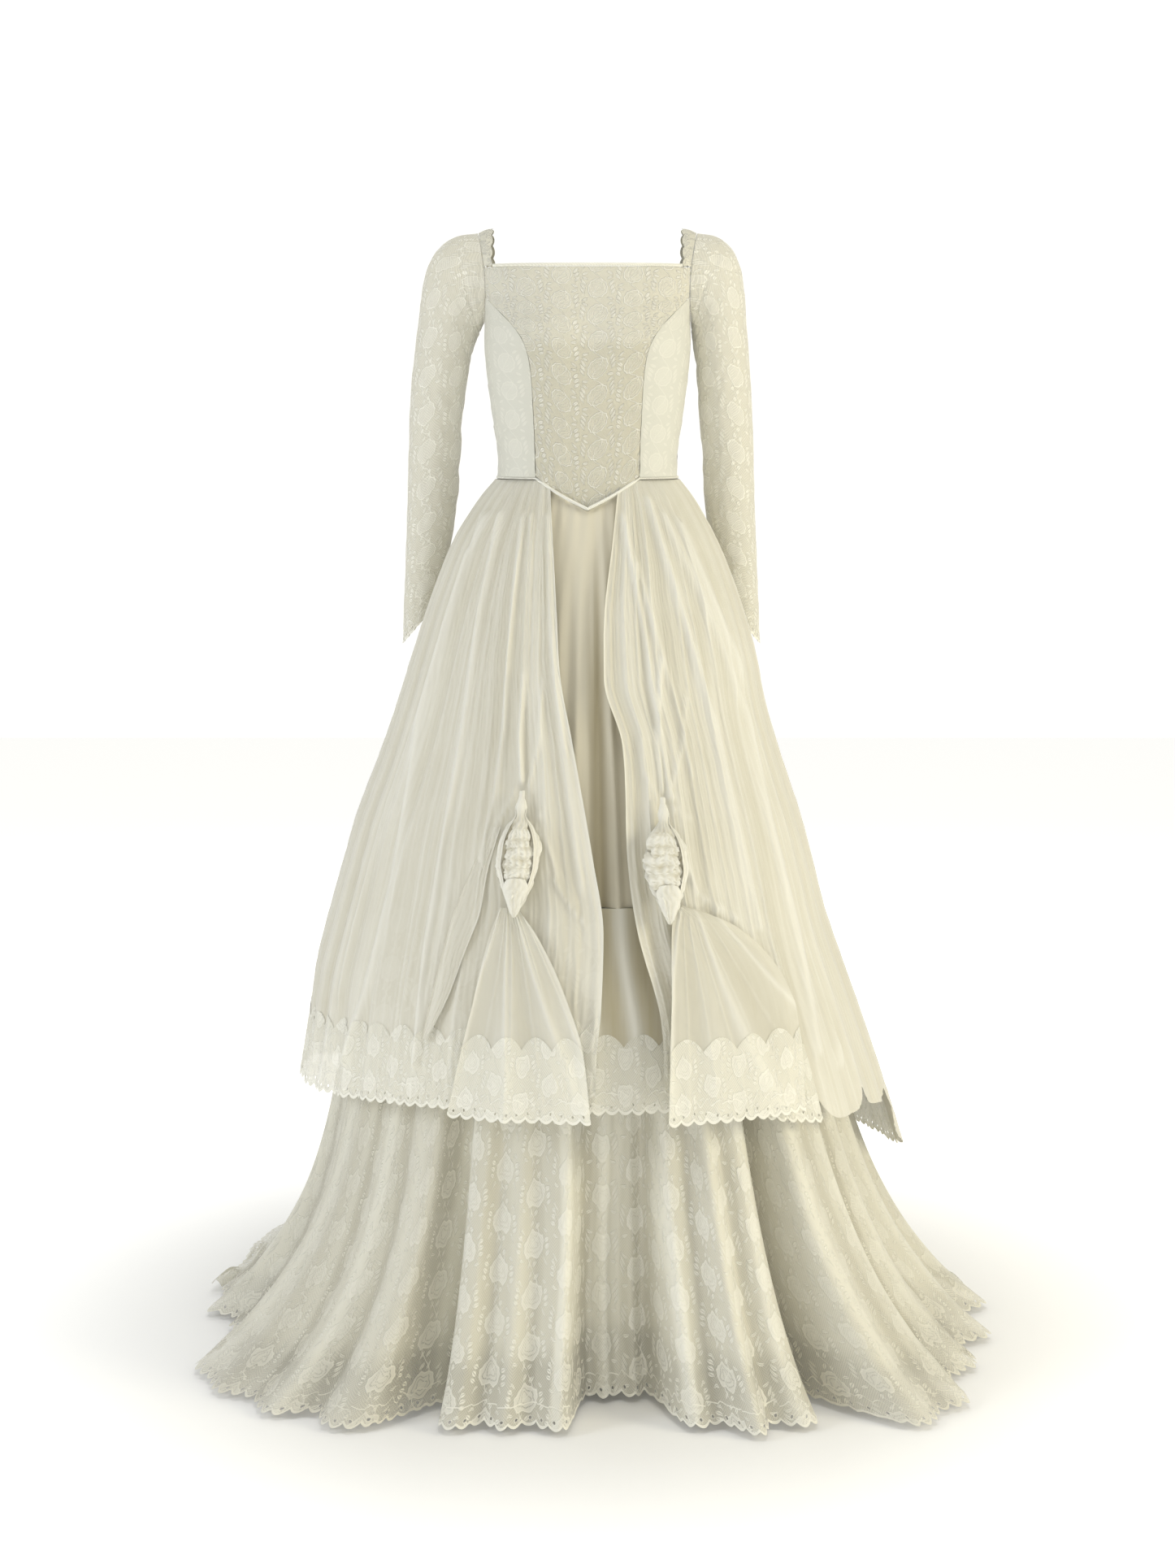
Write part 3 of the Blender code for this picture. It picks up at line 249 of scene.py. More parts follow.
def sheet_of_cloth(name, spots, finish,
                   flat_row=0.75, painted_shade=None, closed=False, layers=1):
    """One cut piece of cloth from a grid of points, top row first, left to right.

    The cloth's own coordinates are metres across, at the row that flat_row
    names as a share of the length, or centred on each row, and metres up.
    """
    rows, columns = spots.shape[:2]
    around = columns - 1 if closed else columns
    number = np.arange(rows * around).reshape(rows, around)
    if closed:
        number = np.concatenate([number, number[:, :1]], axis=1)
    corner = around_each(number).reshape(-1, 4)
    cloth = bpy.data.meshes.new(name)
    cloth.from_pydata(spots[:, :around].reshape(-1, 3).tolist(), [], corner.tolist())
    along = run_length(spots, 1)
    if flat_row is None:
        across = along - along[:, -1:] / 2.0 + CENTRE_ACROSS
    else:
        across = np.broadcast_to(along[int(flat_row * (rows - 1))], (rows, columns))
    down = run_length(spots, 0)
    place = np.stack([across, down[-1] - down], axis=2)
    weave = around_each(place)
    cloth.uv_layers.new(name="Cloth").data.foreach_set("uv", weave.reshape(-1).astype(np.float32))
    # Painted shade for each point: 0 on a lit crest, more deep in a fold, and below 0 for a painted
    # highlight. The finishes darken or lighten their colour by it.
    deep = np.zeros((rows, columns)) if painted_shade is None else np.broadcast_to(painted_shade, (rows, columns))
    shade = cloth.attributes.new("painted_shade", "FLOAT", "POINT")
    shade.data.foreach_set("value", deep[:, :around].reshape(-1).astype(np.float32))
    cloth.shade_smooth()
    cloth.materials.append(finish)
    piece = bpy.data.objects.new(name, cloth)
    bpy.context.scene.collection.objects.link(piece)
    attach(piece, "root")
    width = float(along[:, -1].max())
    length = float(down[-1].max())
    area = sum(polygon.area for polygon in cloth.polygons) / layers
    width = min(width, area / (LEAST_FILL * length))
    area = min(area, MOST_FILL * width * length)
    return piece


class Level:
    """A number that varies over the cloth, worked out by math nodes."""

    def __init__(self, tree, socket):
        self.tree = tree
        self.socket = socket

    def step(self, operation, *others, clamp=False):
        node = self.tree.nodes.new("ShaderNodeMath")
        node.operation = operation
        node.use_clamp = clamp
        for place, other in enumerate((self,) + others):
            if isinstance(other, Level):
                self.tree.links.new(other.socket, node.inputs[place])
            else:
                node.inputs[place].default_value = other
        return Level(self.tree, node.outputs[0])

    def __add__(self, other):
        return self.step("ADD", other)

    def __sub__(self, other):
        return self.step("SUBTRACT", other)

    def __mul__(self, other):
        return self.step("MULTIPLY", other)

    def __truediv__(self, other):
        return self.step("DIVIDE", other)

    def most(self, other):
        return self.step("MAXIMUM", other)

    def least(self, other):
        return self.step("MINIMUM", other)

    def size(self):
        return self.step("ABSOLUTE")

    def within(self, limit, soft):
        """1 where the number is smaller than the limit, with a soft edge."""
        gap = self.step("MULTIPLY", -1.0) + limit
        return gap.step("MULTIPLY_ADD", 1.0 / soft, 0.5, clamp=True)


def cloth_finish(name, roughness, sheen):
    """A new cloth material with its shader and the flat cloth's coordinates."""
    made = bpy.data.materials.new(name)
    made.use_nodes = True
    tree = made.node_tree
    shader = tree.nodes["Principled BSDF"]
    shader.inputs["Roughness"].default_value = roughness
    shader.inputs["Sheen Weight"].default_value = sheen
    shader.inputs["Sheen Roughness"].default_value = 0.45
    shader.inputs["Specular IOR Level"].default_value = 0.25
    flat = tree.nodes.new("ShaderNodeUVMap")
    flat.uv_map = "Cloth"
    split = tree.nodes.new("ShaderNodeSeparateXYZ")
    tree.links.new(flat.outputs["UV"], split.inputs["Vector"])
    across = Level(tree, split.outputs["X"])
    up = Level(tree, split.outputs["Y"])
    return made, tree, shader, flat.outputs["UV"], across, up


def cloud(tree, place, scale, detail=2.0):
    """Soft noise between 0 and 1 over the cloth."""
    noise = tree.nodes.new("ShaderNodeTexNoise")
    noise.inputs["Scale"].default_value = scale
    noise.inputs["Detail"].default_value = detail
    tree.links.new(place, noise.inputs["Vector"])
    return Level(tree, noise.outputs["Fac"])


def painted_fold_shade(tree):
    """Painted shade that grows the deeper in a fold the cloth lies, as its sheet was given it."""
    painted_shade = tree.nodes.new("ShaderNodeAttribute")
    painted_shade.attribute_name = "painted_shade"
    return Level(tree, painted_shade.outputs["Fac"])


def blend_colour(tree, share, low, high):
    """From the low colour to the high one, each a value or another blend."""
    mix = tree.nodes.new("ShaderNodeMix")
    mix.data_type = "RGBA"
    tree.links.new(share.socket, mix.inputs["Factor"])
    for socket, value in ((mix.inputs[6], low), (mix.inputs[7], high)):
        if isinstance(value, tuple):
            socket.default_value = value + (1.0,)
        else:
            tree.links.new(value, socket)
    return mix.outputs[2]


def raise_by(tree, shader, height, strength, distance):
    """Fine relief of the thread, added to the cloth's own folds."""
    bump = tree.nodes.new("ShaderNodeBump")
    bump.inputs["Strength"].default_value = strength
    bump.inputs["Distance"].default_value = distance
    tree.links.new(height.socket, bump.inputs["Height"])
    tree.links.new(bump.outputs["Normal"], shader.inputs["Normal"])


def rose_lace(tree, flat, across, up, wide, tall, scale=1.0, filled=0.85):
    """Roses with leaf sprays in half-dropped columns: solid thread and net."""
    wander = (cloud(tree, flat, 26.0) - 0.5) * 0.0040
    drift = (cloud(tree, flat, 34.0) - 0.5) * 0.0040
    x = (across + wander) / wide
    column = x.step("FLOOR")
    shift = column.step("MODULO", 2.0).size() * 0.5
    y = (up + drift) / tall + shift
    x = (x - column - 0.5) * (wide / scale)
    y = (y - y.step("FLOOR") - 0.5) * (tall / scale)
    r = (x * x + y * y).step("SQRT")
    turn = y.step("ARCTAN2", x)
    reach = (turn * 11.0).step("COSINE") * (0.03 * ROSE_R) + ROSE_R
    rose = r.within(reach, 0.0012) * filled
    rim = (r - reach + 0.0014).size().within(0.0010, 0.0008)
    ring = (r - 0.0108 - (turn * 5.0 + 2.0).step("COSINE") * 0.0010).size().within(0.0007, 0.0007)
    heart = (r - 0.0062 - (turn * 3.0).step("COSINE") * 0.0011).size().within(0.0006, 0.0006)
    if filled > 0.5:
        motif = (rose - ring.most(heart) * 0.35).most(rim * 0.95)
    else:
        motif = rose.most(rim).most(ring * 0.6).most(heart * 0.7)
    for place_x, place_y, angle, length, half in LEAVES:
        c = math.cos(math.radians(angle))
        s = math.sin(math.radians(angle))
        if abs(place_y + s * length) > tall / scale / 2.0:
            continue
        dx = x - place_x
        dy = y - place_y
        along = (dx * c + dy * s) / (length / 2.0) - 1.0
        side = (dy * c - dx * s).size()
        edge = side + along * along * half
        vein = side.within(0.0004, 0.0004) * 0.45
        motif = motif.most(edge.within(half, 0.0008) - vein)
    stem = (x - (y * (2.0 * math.pi * scale / tall)).step("SINE") * 0.0075).size()
    motif = motif.most(stem.within(0.0009, 0.0007) * 0.9)
    left = ((across + up * 0.6) * (math.pi / NET_MESH)).step("SINE").size().within(0.30, 0.3)
    right = ((across - up * 0.6) * (math.pi / NET_MESH)).step("SINE").size().within(0.30, 0.3)
    return motif, left.most(right)


def lace_on_lining(name, wide, tall, scale, relief, ground, edge_z=None):
    """Lace lying on an opaque lining, with its pattern raised."""
    made, tree, shader, flat, across, up = cloth_finish(name, 0.62, 0.25)
    motif, net = rose_lace(tree, flat, across, up, wide, tall, scale, 0.14)
    tone = motif * 0.85 + net * 0.10
    tone = tone * (cloud(tree, flat, 300.0) * 0.3 + 0.85)
    if edge_z is not None:
        body = tree.nodes.new("ShaderNodeTexCoord")
        parts = tree.nodes.new("ShaderNodeSeparateXYZ")
        tree.links.new(body.outputs["Object"], parts.inputs["Vector"])
        above = Level(tree, parts.outputs["Z"]) * -1.0
        tone = tone + above.within(-edge_z, 0.012) * 0.28
    colour = blend_colour(tree, tone.least(1.0), ground, THREAD)
    tree.links.new(colour, shader.inputs["Base Color"])
    raise_by(tree, shader, motif + net * 0.12, relief, 0.0016)
    return made


def armhole_x(z, front):
    """Armhole seam at a height: how far out and how far forward or back."""
    out_x, out_z, in_x, in_z, deep, bow = ARMHOLE
    c = np.clip((z - (out_z + in_z) / 2.0) / ((out_z - in_z) / 2.0), -1.0, 1.0)
    s = np.sqrt(1.0 - c * c)
    x = (out_x + in_x) / 2.0 + (out_x - in_x) / 2.0 * c - bow * s * s - ARMHOLE_GAP
    return x, -deep * s if front else deep * s


def bodice_section(z, front):
    """Edge, section half width and depth of the bodice at each height."""
    depth = smooth_at(BODICE, 2 if front else 3, z)
    x, y = armhole_x(z, front)
    share = np.minimum(np.abs(y) / depth, 0.98)
    open_width = x / (1.0 - share**BODICE_POWER) ** (1.0 / BODICE_POWER)
    closed_width = smooth_at(BODICE, 1, z)
    under = z <= ARMHOLE[3]
    return np.where(under, closed_width, x), np.where(under, closed_width, open_width), depth


def bodice_turn(x, width):
    """Turn round the bodice's section at which it lies so far from the middle."""
    return np.arcsin(np.minimum(1.0, (np.abs(x) / width) ** (BODICE_POWER / 2.0)))


def bodice_spots(turn, width, depth, z, side, front, proud=0.0):
    """Points on the bodice, with a slight dip between the cups in front."""
    x = (width + proud) * np.sin(turn) ** (2.0 / BODICE_POWER) * side
    y = (depth + proud) * np.cos(turn) ** (2.0 / BODICE_POWER)
    if front:
        y = -y + DIP_DEPTH * np.exp(-((x / DIP_HALF_X) ** 2) - ((z - DIP_Z) / DIP_HALF_Z) ** 2)
    return np.stack([x, y, z], axis=2)


def lace_panel_half(z):
    """Half width of the lace panel, which fills the front above the bust seams."""
    edge = bodice_section(z, True)[0]
    top = bodice_section(np.array([SEAM_TOP_Z]), True)[0][0]
    slant = (z - FRONT_SEAM[0][0]) / (SEAM_TOP_Z - FRONT_SEAM[0][0])
    middle = FRONT_SEAM[0][1] + (top - FRONT_SEAM[0][1]) * np.clip(slant, 0.0, 1.0)
    return np.where(z >= SEAM_TOP_Z, edge, np.where(slant > 0.0, middle, smooth_at(FRONT_SEAM, 1, z)))


bodice_lace = lace_on_lining(
    "lace over satin lining", 0.046, 0.035, 0.78, 0.85, GROUND, edge_z=BUST_EDGE_Z
)
u, v = grid(110, 110)
share = 2.0 * u - 1.0
z = NECK_Z + (WAIST_Z + PIPE_GAP - NECK_Z) * v
drop = np.maximum(0.0, 1.0 - np.abs(share)) * (POINT_Z - WAIST_Z)
z = z + drop * ease(0.72, 1.0, v)
edge, width, depth = bodice_section(z, True)
half = lace_panel_half(z) - HALF_SEAM
half = np.minimum(half, width * 0.9999)
drag = 0.0007 * crumple(9.0 * share, 26.0 * v, 0.6) * ease(0.35, 0.9, v)
drag = drag + 0.0006 * np.sin(60.0 * v + 3.0 * share) * ease(0.0, 0.3, v) * (1.0 - ease(0.3, 0.5, v))
turn = bodice_turn(half, width) * np.abs(share)
spots = bodice_spots(turn, width, depth, z, np.sign(share + 1e-9), True, drag)
bodice_front = sheet_of_cloth(
    "bodice_lace_front", spots, bodice_lace, None
)
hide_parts("bodice_front")


# Side and back panels of the bodice: smooth ivory satin with a faint lace
# figure, cut to the waist and bust and sewn at the curved front seams and at
# the side seams. Fine drag lines run from the waist and the armholes.
# Satin colour where light falls, and the colour of its painted shade in the folds.
SATIN_LIGHT = (0.61, 0.605, 0.535)
SATIN_IN_SHADE = (0.45, 0.41, 0.29)
BACK_NECK_Z = -0.045
BACK_OPEN = 0.0062
SIDE_TOP_GAP = 0.0012


def satin_finish(name, faint_lace, light=SATIN_LIGHT, dark=SATIN_IN_SHADE):
    """Soft satin with painted shade deepening in its folds, plain or with a faint lace figure."""
    made, tree, shader, flat, across, up = cloth_finish(name, 0.42, 0.3)
    tone = painted_fold_shade(tree) + (cloud(tree, flat, 14.0) - 0.5) * 0.25
    colour = blend_colour(tree, tone.most(0.0), light, dark)
    weave = (across * 5200.0).step("SINE") * (up * 5200.0).step("SINE") * 0.12
    height = weave + cloud(tree, flat, 55.0, 3.0) * 0.5
    if faint_lace:
        motif = rose_lace(tree, flat, across, up, 0.050, 0.037, 0.75, 0.30)[0]
        height = height + motif * 0.80
        colour = blend_colour(tree, motif * 0.35, colour, THREAD)
    tree.links.new(colour, shader.inputs["Base Color"])
    raise_by(tree, shader, height, 0.25, 0.0012)
    return made


bodice_satin = satin_finish("satin with faint lace figure", True)
for side, place in ((-1.0, "left"), (1.0, "right")):
    u, v = grid(36, 80)
    z = SEAM_TOP_Z - SIDE_TOP_GAP + (WAIST_Z + PIPE_GAP - SEAM_TOP_Z) * v
    edge, width, depth = bodice_section(z, True)
    first = bodice_turn(np.minimum(lace_panel_half(z) + HALF_SEAM, edge), width)
    last = bodice_turn(np.minimum(edge, width * 0.99999), width)
    creases = 0.0006 * crumple(4.0 * u, 20.0 * v, 1.1 * side) * ease(0.1, 0.6, v)
    puff = 0.0010 * np.sin(math.pi * u) * ease(0.05, 0.2, v) * (1.0 - ease(0.3, 0.5, v))
    spots = bodice_spots(first + (last - first) * u, width, depth, z, side, True, creases + puff)
    if side < 0.0:
        spots = spots[:, ::-1]
    panel = sheet_of_cloth(
        "bodice_satin_side_" + place, spots, bodice_satin
    )
    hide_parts("bodice_side_" + place)

    u, v = grid(50, 90)
    z = BACK_NECK_Z + (WAIST_Z + PIPE_GAP - BACK_NECK_Z) * v
    edge, width, depth = bodice_section(z, False)
    first = bodice_turn(np.minimum(edge, width * 0.99999), width)
    last = bodice_turn(BACK_OPEN, width)
    creases = 0.0008 * crumple(5.0 * u, 24.0 * v, 2.3 + side) * ease(0.15, 0.7, v)
    spots = bodice_spots(first + (last - first) * u, width, depth, z, side, False, creases)
    if side < 0.0:
        spots = spots[:, ::-1]
    panel = sheet_of_cloth(
        "bodice_satin_back_" + place, spots, bodice_satin
    )
    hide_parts("bodice_back_" + place)


# Shoulder straps: a strip of the same rose lace over each shoulder, its
# scalloped edge turned to the neck, sewn to the sleeve head and to the tops
# of the front and back.
STRAP_IN_X = 0.1250
STRAP_FRONT_Y = 0.062
STRAP_BACK_Y = 0.060
STRAP_SEAM = 0.0008
STRAP_SCALLOPS = 9.0
STRAP_SCALLOP = 0.0028
STRAP_TOP_Z = 0.0020
strap_lace = lace_on_lining("strap lace", 0.030, 0.026, 0.45, 0.8, (0.66, 0.64, 0.54))
for side, place in ((-1.0, "left"), (1.0, "right")):
    out_x, out_z, in_x, in_z, deep, bow = ARMHOLE
    middle = (out_z + in_z) / 2.0
    half = (out_z - in_z) / 2.0
    front_turn = math.acos((NECK_Z + STRAP_SEAM - middle) / half)
    back_turn = math.acos((BACK_NECK_Z + STRAP_SEAM - middle) / half)
    t, s = grid(120, 10)
    phi = front_turn + (-back_turn - front_turn) * t
    reach = np.sin(phi) / np.where(phi > 0.0, math.sin(front_turn), math.sin(back_turn))
    low = np.where(phi > 0.0, NECK_Z, BACK_NECK_Z)
    edge_x = (out_x + in_x) / 2.0 + (out_x - in_x) / 2.0 * np.cos(phi)
    edge_x = edge_x - bow * np.sin(phi) ** 2 - ARMHOLE_GAP
    edge_y = -deep * np.sin(phi)
    edge_z = middle + half * np.cos(phi)
    neck_x = STRAP_IN_X - STRAP_SCALLOP * np.abs(np.sin(math.pi * STRAP_SCALLOPS * t)) ** 0.7
    neck_y = -reach * np.where(reach > 0.0, STRAP_FRONT_Y, STRAP_BACK_Y)
    neck_z = low + STRAP_SEAM + (STRAP_TOP_Z - low) * (1.0 - np.abs(reach) ** 2.2)
    lift = 0.0016 * np.sin(math.pi * s)
    spots = np.stack([
        (edge_x + (neck_x - edge_x) * s) * side,
        edge_y + (neck_y - edge_y) * s,
        edge_z + (neck_z - edge_z) * s + lift,
    ], axis=2)
    if side < 0.0:
        spots = spots[:, ::-1]
    strap = sheet_of_cloth(
        "lace_strap_" + place, spots, strap_lace
    )
    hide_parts("shoulder_strap_" + place)


# Bands, back placket and covered buttons: narrow bands of ivory satin bind
# the square neck, and seven small buttons close the back over a placket. They
# are the part's own solids, which only get their finish here.
BUTTONS = 7


def bias_satin(name, light, dark):
    """Satin seen close to: a fine twill across the piece, read in the object's axes."""
    made = bpy.data.materials.new(name)
    made.use_nodes = True
    tree = made.node_tree
    shader = tree.nodes["Principled BSDF"]
    shader.inputs["Roughness"].default_value = 0.42
    shader.inputs["Sheen Weight"].default_value = 0.3
    place = tree.nodes.new("ShaderNodeTexCoord")
    waves = tree.nodes.new("ShaderNodeTexWave")
    waves.wave_type = "BANDS"
    waves.bands_direction = "DIAGONAL"
    waves.inputs["Scale"].default_value = 180.0
    tree.links.new(place.outputs["Object"], waves.inputs["Vector"])
    twill = Level(tree, waves.outputs["Fac"])
    tone = twill * 0.7 + cloud(tree, place.outputs["Object"], 18.0) * 0.3
    tree.links.new(blend_colour(tree, tone, dark, light), shader.inputs["Base Color"])
    raise_by(tree, shader, twill, 0.2, 0.0004)
    return made


band_satin = bias_satin("satin band", (0.80, 0.79, 0.70), (0.66, 0.645, 0.55))
buttons = ["back_button_%d" % (n + 1) for n in range(BUTTONS)]
for node in ["neck_band_front", "neck_band_back", "back_placket"] + buttons:
    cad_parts[node].data.materials.clear()
    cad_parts[node].data.materials.append(band_satin)


# Sleeves: long fitted tubes of sheer rose lace with no lining, set in at the
# armholes. They crease softly at the elbow, and a scalloped point lies where
# the hand would be.
SLEEVE = (
    # ring, out_x, out_z, in_x, in_z, half_depth, back_shift, bow
    (0, 0.1430, -0.003, 0.1355, -0.118, 0.052, 0.000, 0.006),
    (1, 0.1700, -0.008, 0.1365, -0.126, 0.051, 0.001, 0.003),
    (2, 0.1920, -0.026, 0.1385, -0.136, 0.049, 0.002, 0.000),
    (3, 0.2060, -0.062, 0.1415, -0.150, 0.047, 0.004, 0.000),
    (4, 0.2130, -0.125, 0.1465, -0.180, 0.045, 0.010, 0.000),
    (5, 0.2210, -0.205, 0.1520, -0.235, 0.042, 0.022, 0.000),
    (6, 0.2260, -0.290, 0.1570, -0.300, 0.039, 0.040, 0.000),
    (7, 0.2300, -0.370, 0.1640, -0.370, 0.036, 0.064, 0.000),
    (8, 0.2350, -0.440, 0.1800, -0.440, 0.031, 0.094, 0.000),
    (9, 0.2380, -0.485, 0.1880, -0.480, 0.029, 0.108, 0.000),
    (10, 0.2410, -0.547, 0.1930, -0.492, 0.028, 0.116, 0.000),
)
SLEEVE_HANG = {-1.0: 0.012, 1.0: -0.005}
CUFF_SCALLOP = 0.0045
CREASE_HALF = 0.16
# Thread in two lighter random tones and in painted shade; net plain and in painted shade.
THREAD_LIGHT = (0.86, 0.85, 0.78)
THREAD_CREAM = (0.80, 0.785, 0.69)
THREAD_IN_SHADE = (0.58, 0.54, 0.42)
NET_LIGHT = (0.76, 0.745, 0.65)
NET_IN_SHADE = (0.46, 0.42, 0.30)
ELBOW_CREASES = (
    # ring, tilt, depth
    (1.3, 0.5, 0.0010),
    (3.6, -0.6, 0.0012),
    (4.8, 0.7, 0.0013),
    (5.5, -0.5, 0.0016),
    (6.0, 0.4, 0.0018),
    (6.5, 0.8, 0.0016),
    (7.2, -0.4, 0.0014),
    (8.1, 0.5, 0.0012),
    (8.9, -0.6, 0.0011),
    (9.5, 0.3, 0.0009),
)


def open_lace(name, wide, tall, cover, scale=1.0, lined_above=None, edge=None,
              net_shade=0.30, clear=None, filled=0.85):
    """Sheer lace: solid thread where the pattern is, see-through net elsewhere.

    lined_above is the height and the cover of a backing. edge is the width of a
    scallop, and the height, width and length of its eyelet. Between the two places
    of clear the pattern shows fully, and it is fainter outside.
    """
    made, tree, shader, flat, across, up = cloth_finish(name, 0.68, 0.3)
    deep = painted_fold_shade(tree)
    motif, net = rose_lace(tree, flat, across, up, wide, tall, scale, filled)
    if edge is not None:
        scallop, eyelet_up, eyelet_wide, eyelet_tall = edge
        local = across / scallop
        local = (local - local.step("FLOOR") - 0.5) * scallop
        ring = (local / eyelet_wide).step("POWER", 2.0)
        ring = ring + ((up - eyelet_up) / eyelet_tall).step("POWER", 2.0)
        cloth_left = ring.within(1.0, 0.35) * -1.0 + 1.0
        motif = motif.most(ring.within(2.3, 0.4)).most(up.within(0.0042, 0.0012))
        arch = (across * (math.pi / scallop)).step("SINE").size() * 0.006
        motif = motif.most((up - eyelet_up * 2.2 - arch).size().within(0.0011, 0.0008))
        motif = motif * cloth_left
        net = net * cloth_left
    # The painted shade also thins the net's cover in the folds, and a painted highlight thickens it.
    ground = net * 0.25 + cover - deep * 0.32
    if lined_above is not None:
        line, backing = lined_above
        height = up + (cloud(tree, flat, 9.0) - 0.5) * 0.03
        above = (height * -1.0).within(-line, 0.035)
        ground = ground + above * backing
    if edge is not None:
        ground = ground * cloth_left
    alpha = motif.most(ground).least(1.0)
    tone = (motif * 0.72 + net * 0.15) * (cloud(tree, flat, 260.0) * 0.3 + 0.85)
    if clear is not None:
        start, stop = clear
        between = (across - (start + stop) / 2.0).size().within((stop - start) / 2.0, 0.06)
        tone = tone * (between * 0.55 + 0.45)
    # Thread and net darken with the sheet's painted shade; net_shade adds painted shade to the whole
    # net, for the dim inside seen through it.
    thread = blend_colour(tree, cloud(tree, flat, 11.0), THREAD_LIGHT, THREAD_CREAM)
    thread = blend_colour(tree, (deep * 0.35).most(0.0), thread, THREAD_IN_SHADE)
    net_tone = (deep * 0.45 + net_shade).most(0.0).least(1.0)
    net_colour = blend_colour(tree, net_tone, NET_LIGHT, NET_IN_SHADE)
    colour = blend_colour(tree, tone.least(1.0), net_colour, thread)
    tree.links.new(colour, shader.inputs["Base Color"])
    tree.links.new(alpha.socket, shader.inputs["Alpha"])
    raise_by(tree, shader, motif, 0.6, 0.0012)
    return made


sleeve_lace = open_lace(
    "sheer sleeve lace", 0.048, 0.052, 0.70, 0.85,
    edge=(0.0130, 0.0080, 0.0014, 0.0017), net_shade=0.27, filled=0.45,
)
for side, place in ((-1.0, "left"), (1.0, "right")):
    u, v = grid(80, 160)
    ring = 10.0 * v
    around = 2.0 * math.pi * u + math.pi
    c = np.cos(around)
    s = np.sin(around)
    out_x, out_z, in_x, in_z, deep, shift, bow = [smooth_at(SLEEVE, n, ring) for n in range(1, 8)]
    swell = 0.0005 * crumple(5.0 * c, 3.0 * ring, side)
    for at, tilt, crease in ELBOW_CREASES:
        across_fold = (ring - at - 0.35 * tilt * np.sin(around + 2.0 * side)) / CREASE_HALF
        swell = swell - crease * np.exp(-across_fold**2) * (0.55 - 0.45 * np.cos(around + tilt))
    half_x = (out_x - in_x) / 2.0
    half_z = (out_z - in_z) / 2.0
    x = (out_x + in_x) / 2.0 + half_x * c - bow * s * s + swell * c
    x = x + SLEEVE_HANG[side] * np.minimum(1.0, ring / 5.0)
    scallops = CUFF_SCALLOP * np.abs(np.cos(8.0 * around)) ** 0.6 * ease(0.955, 1.0, v)
    z = (out_z + in_z) / 2.0 + half_z * c - scallops + CUFF_SCALLOP * ease(0.955, 1.0, v)
    spots = np.stack([x * side, shift - (deep + swell) * s, z], axis=2)
    if side > 0.0:
        spots = spots[:, ::-1]
    sleeve = sheet_of_cloth(
        "lace_sleeve_" + place, spots, sleeve_lace,
        None, closed=True,
    )
    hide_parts("sleeve_" + place)


# Waist piping: a cord covered in bias satin, sewn into the waist seam all
# round. It lies level at the sides and back and drops to a point in front.
SKIRT_POWER = 2.1
SKIRT = (
    # z, left, right, front, back
    (-0.318, 0.1185, 0.1185, 0.0885, 0.0755),
    (-0.345, 0.1400, 0.1380, 0.1020, 0.1020),
    (-0.400, 0.1740, 0.1680, 0.1330, 0.1430),
    (-0.470, 0.2020, 0.1950, 0.1650, 0.1820),
    (-0.545, 0.2260, 0.2170, 0.1950, 0.2160),
    (-0.610, 0.2460, 0.2290, 0.2200, 0.2440),
    (-0.680, 0.2700, 0.2490, 0.2450, 0.2730),
    (-0.760, 0.3000, 0.2750, 0.2740, 0.3060),
    (-0.830, 0.3200, 0.2940, 0.2980, 0.3360),
    (-0.890, 0.3370, 0.3090, 0.3190, 0.3620),
    (-0.960, 0.3550, 0.3330, 0.3410, 0.3910),
    (-1.030, 0.3650, 0.3580, 0.3600, 0.4180),
    (-1.110, 0.3780, 0.3850, 0.3800, 0.4450),
    (-1.260, 0.4000, 0.4320, 0.4100, 0.4900),
)
PIPING_R = 0.0022
PIPING_INSET = 0.995


def skirt_spots(angle, z, lift):
    """Points on the skirt's form at angles from the front, moved out by the lift."""
    turn = np.radians(angle)
    half = np.where(angle < 0.0, smooth_at(SKIRT, 1, z), smooth_at(SKIRT, 2, z)) + lift
    depth = np.where(np.abs(angle) < 90.0, smooth_at(SKIRT, 3, z), smooth_at(SKIRT, 4, z)) + lift
    power = 2.0 / SKIRT_POWER
    c = np.cos(turn)
    s = np.sin(turn)
    x = half * np.sign(s) * np.abs(s) ** power
    y = -depth * np.sign(c) * np.abs(c) ** power
    return np.stack([x, y, z + 0.0 * angle], axis=-1)


def angle_of_x(x, z):
    """Angle from the front at which the skirt's form lies so far across."""
    half = np.where(x < 0.0, smooth_at(SKIRT, 1, z), smooth_at(SKIRT, 2, z))
    share = np.minimum(1.0, (np.abs(x) / half) ** (SKIRT_POWER / 2.0))
    return np.degrees(np.sign(x) * np.arcsin(share))


def waist_height(angle):
    """Height of the waist seam round the body, with its point in front."""
    x = skirt_spots(angle, np.full(np.shape(angle), WAIST_Z), 0.0)[..., 0]
    share = np.maximum(0.0, 1.0 - np.abs(x) / POINT_HALF)
    return WAIST_Z + (POINT_Z - WAIST_Z) * np.where(np.abs(angle) < 90.0, share, 0.0)


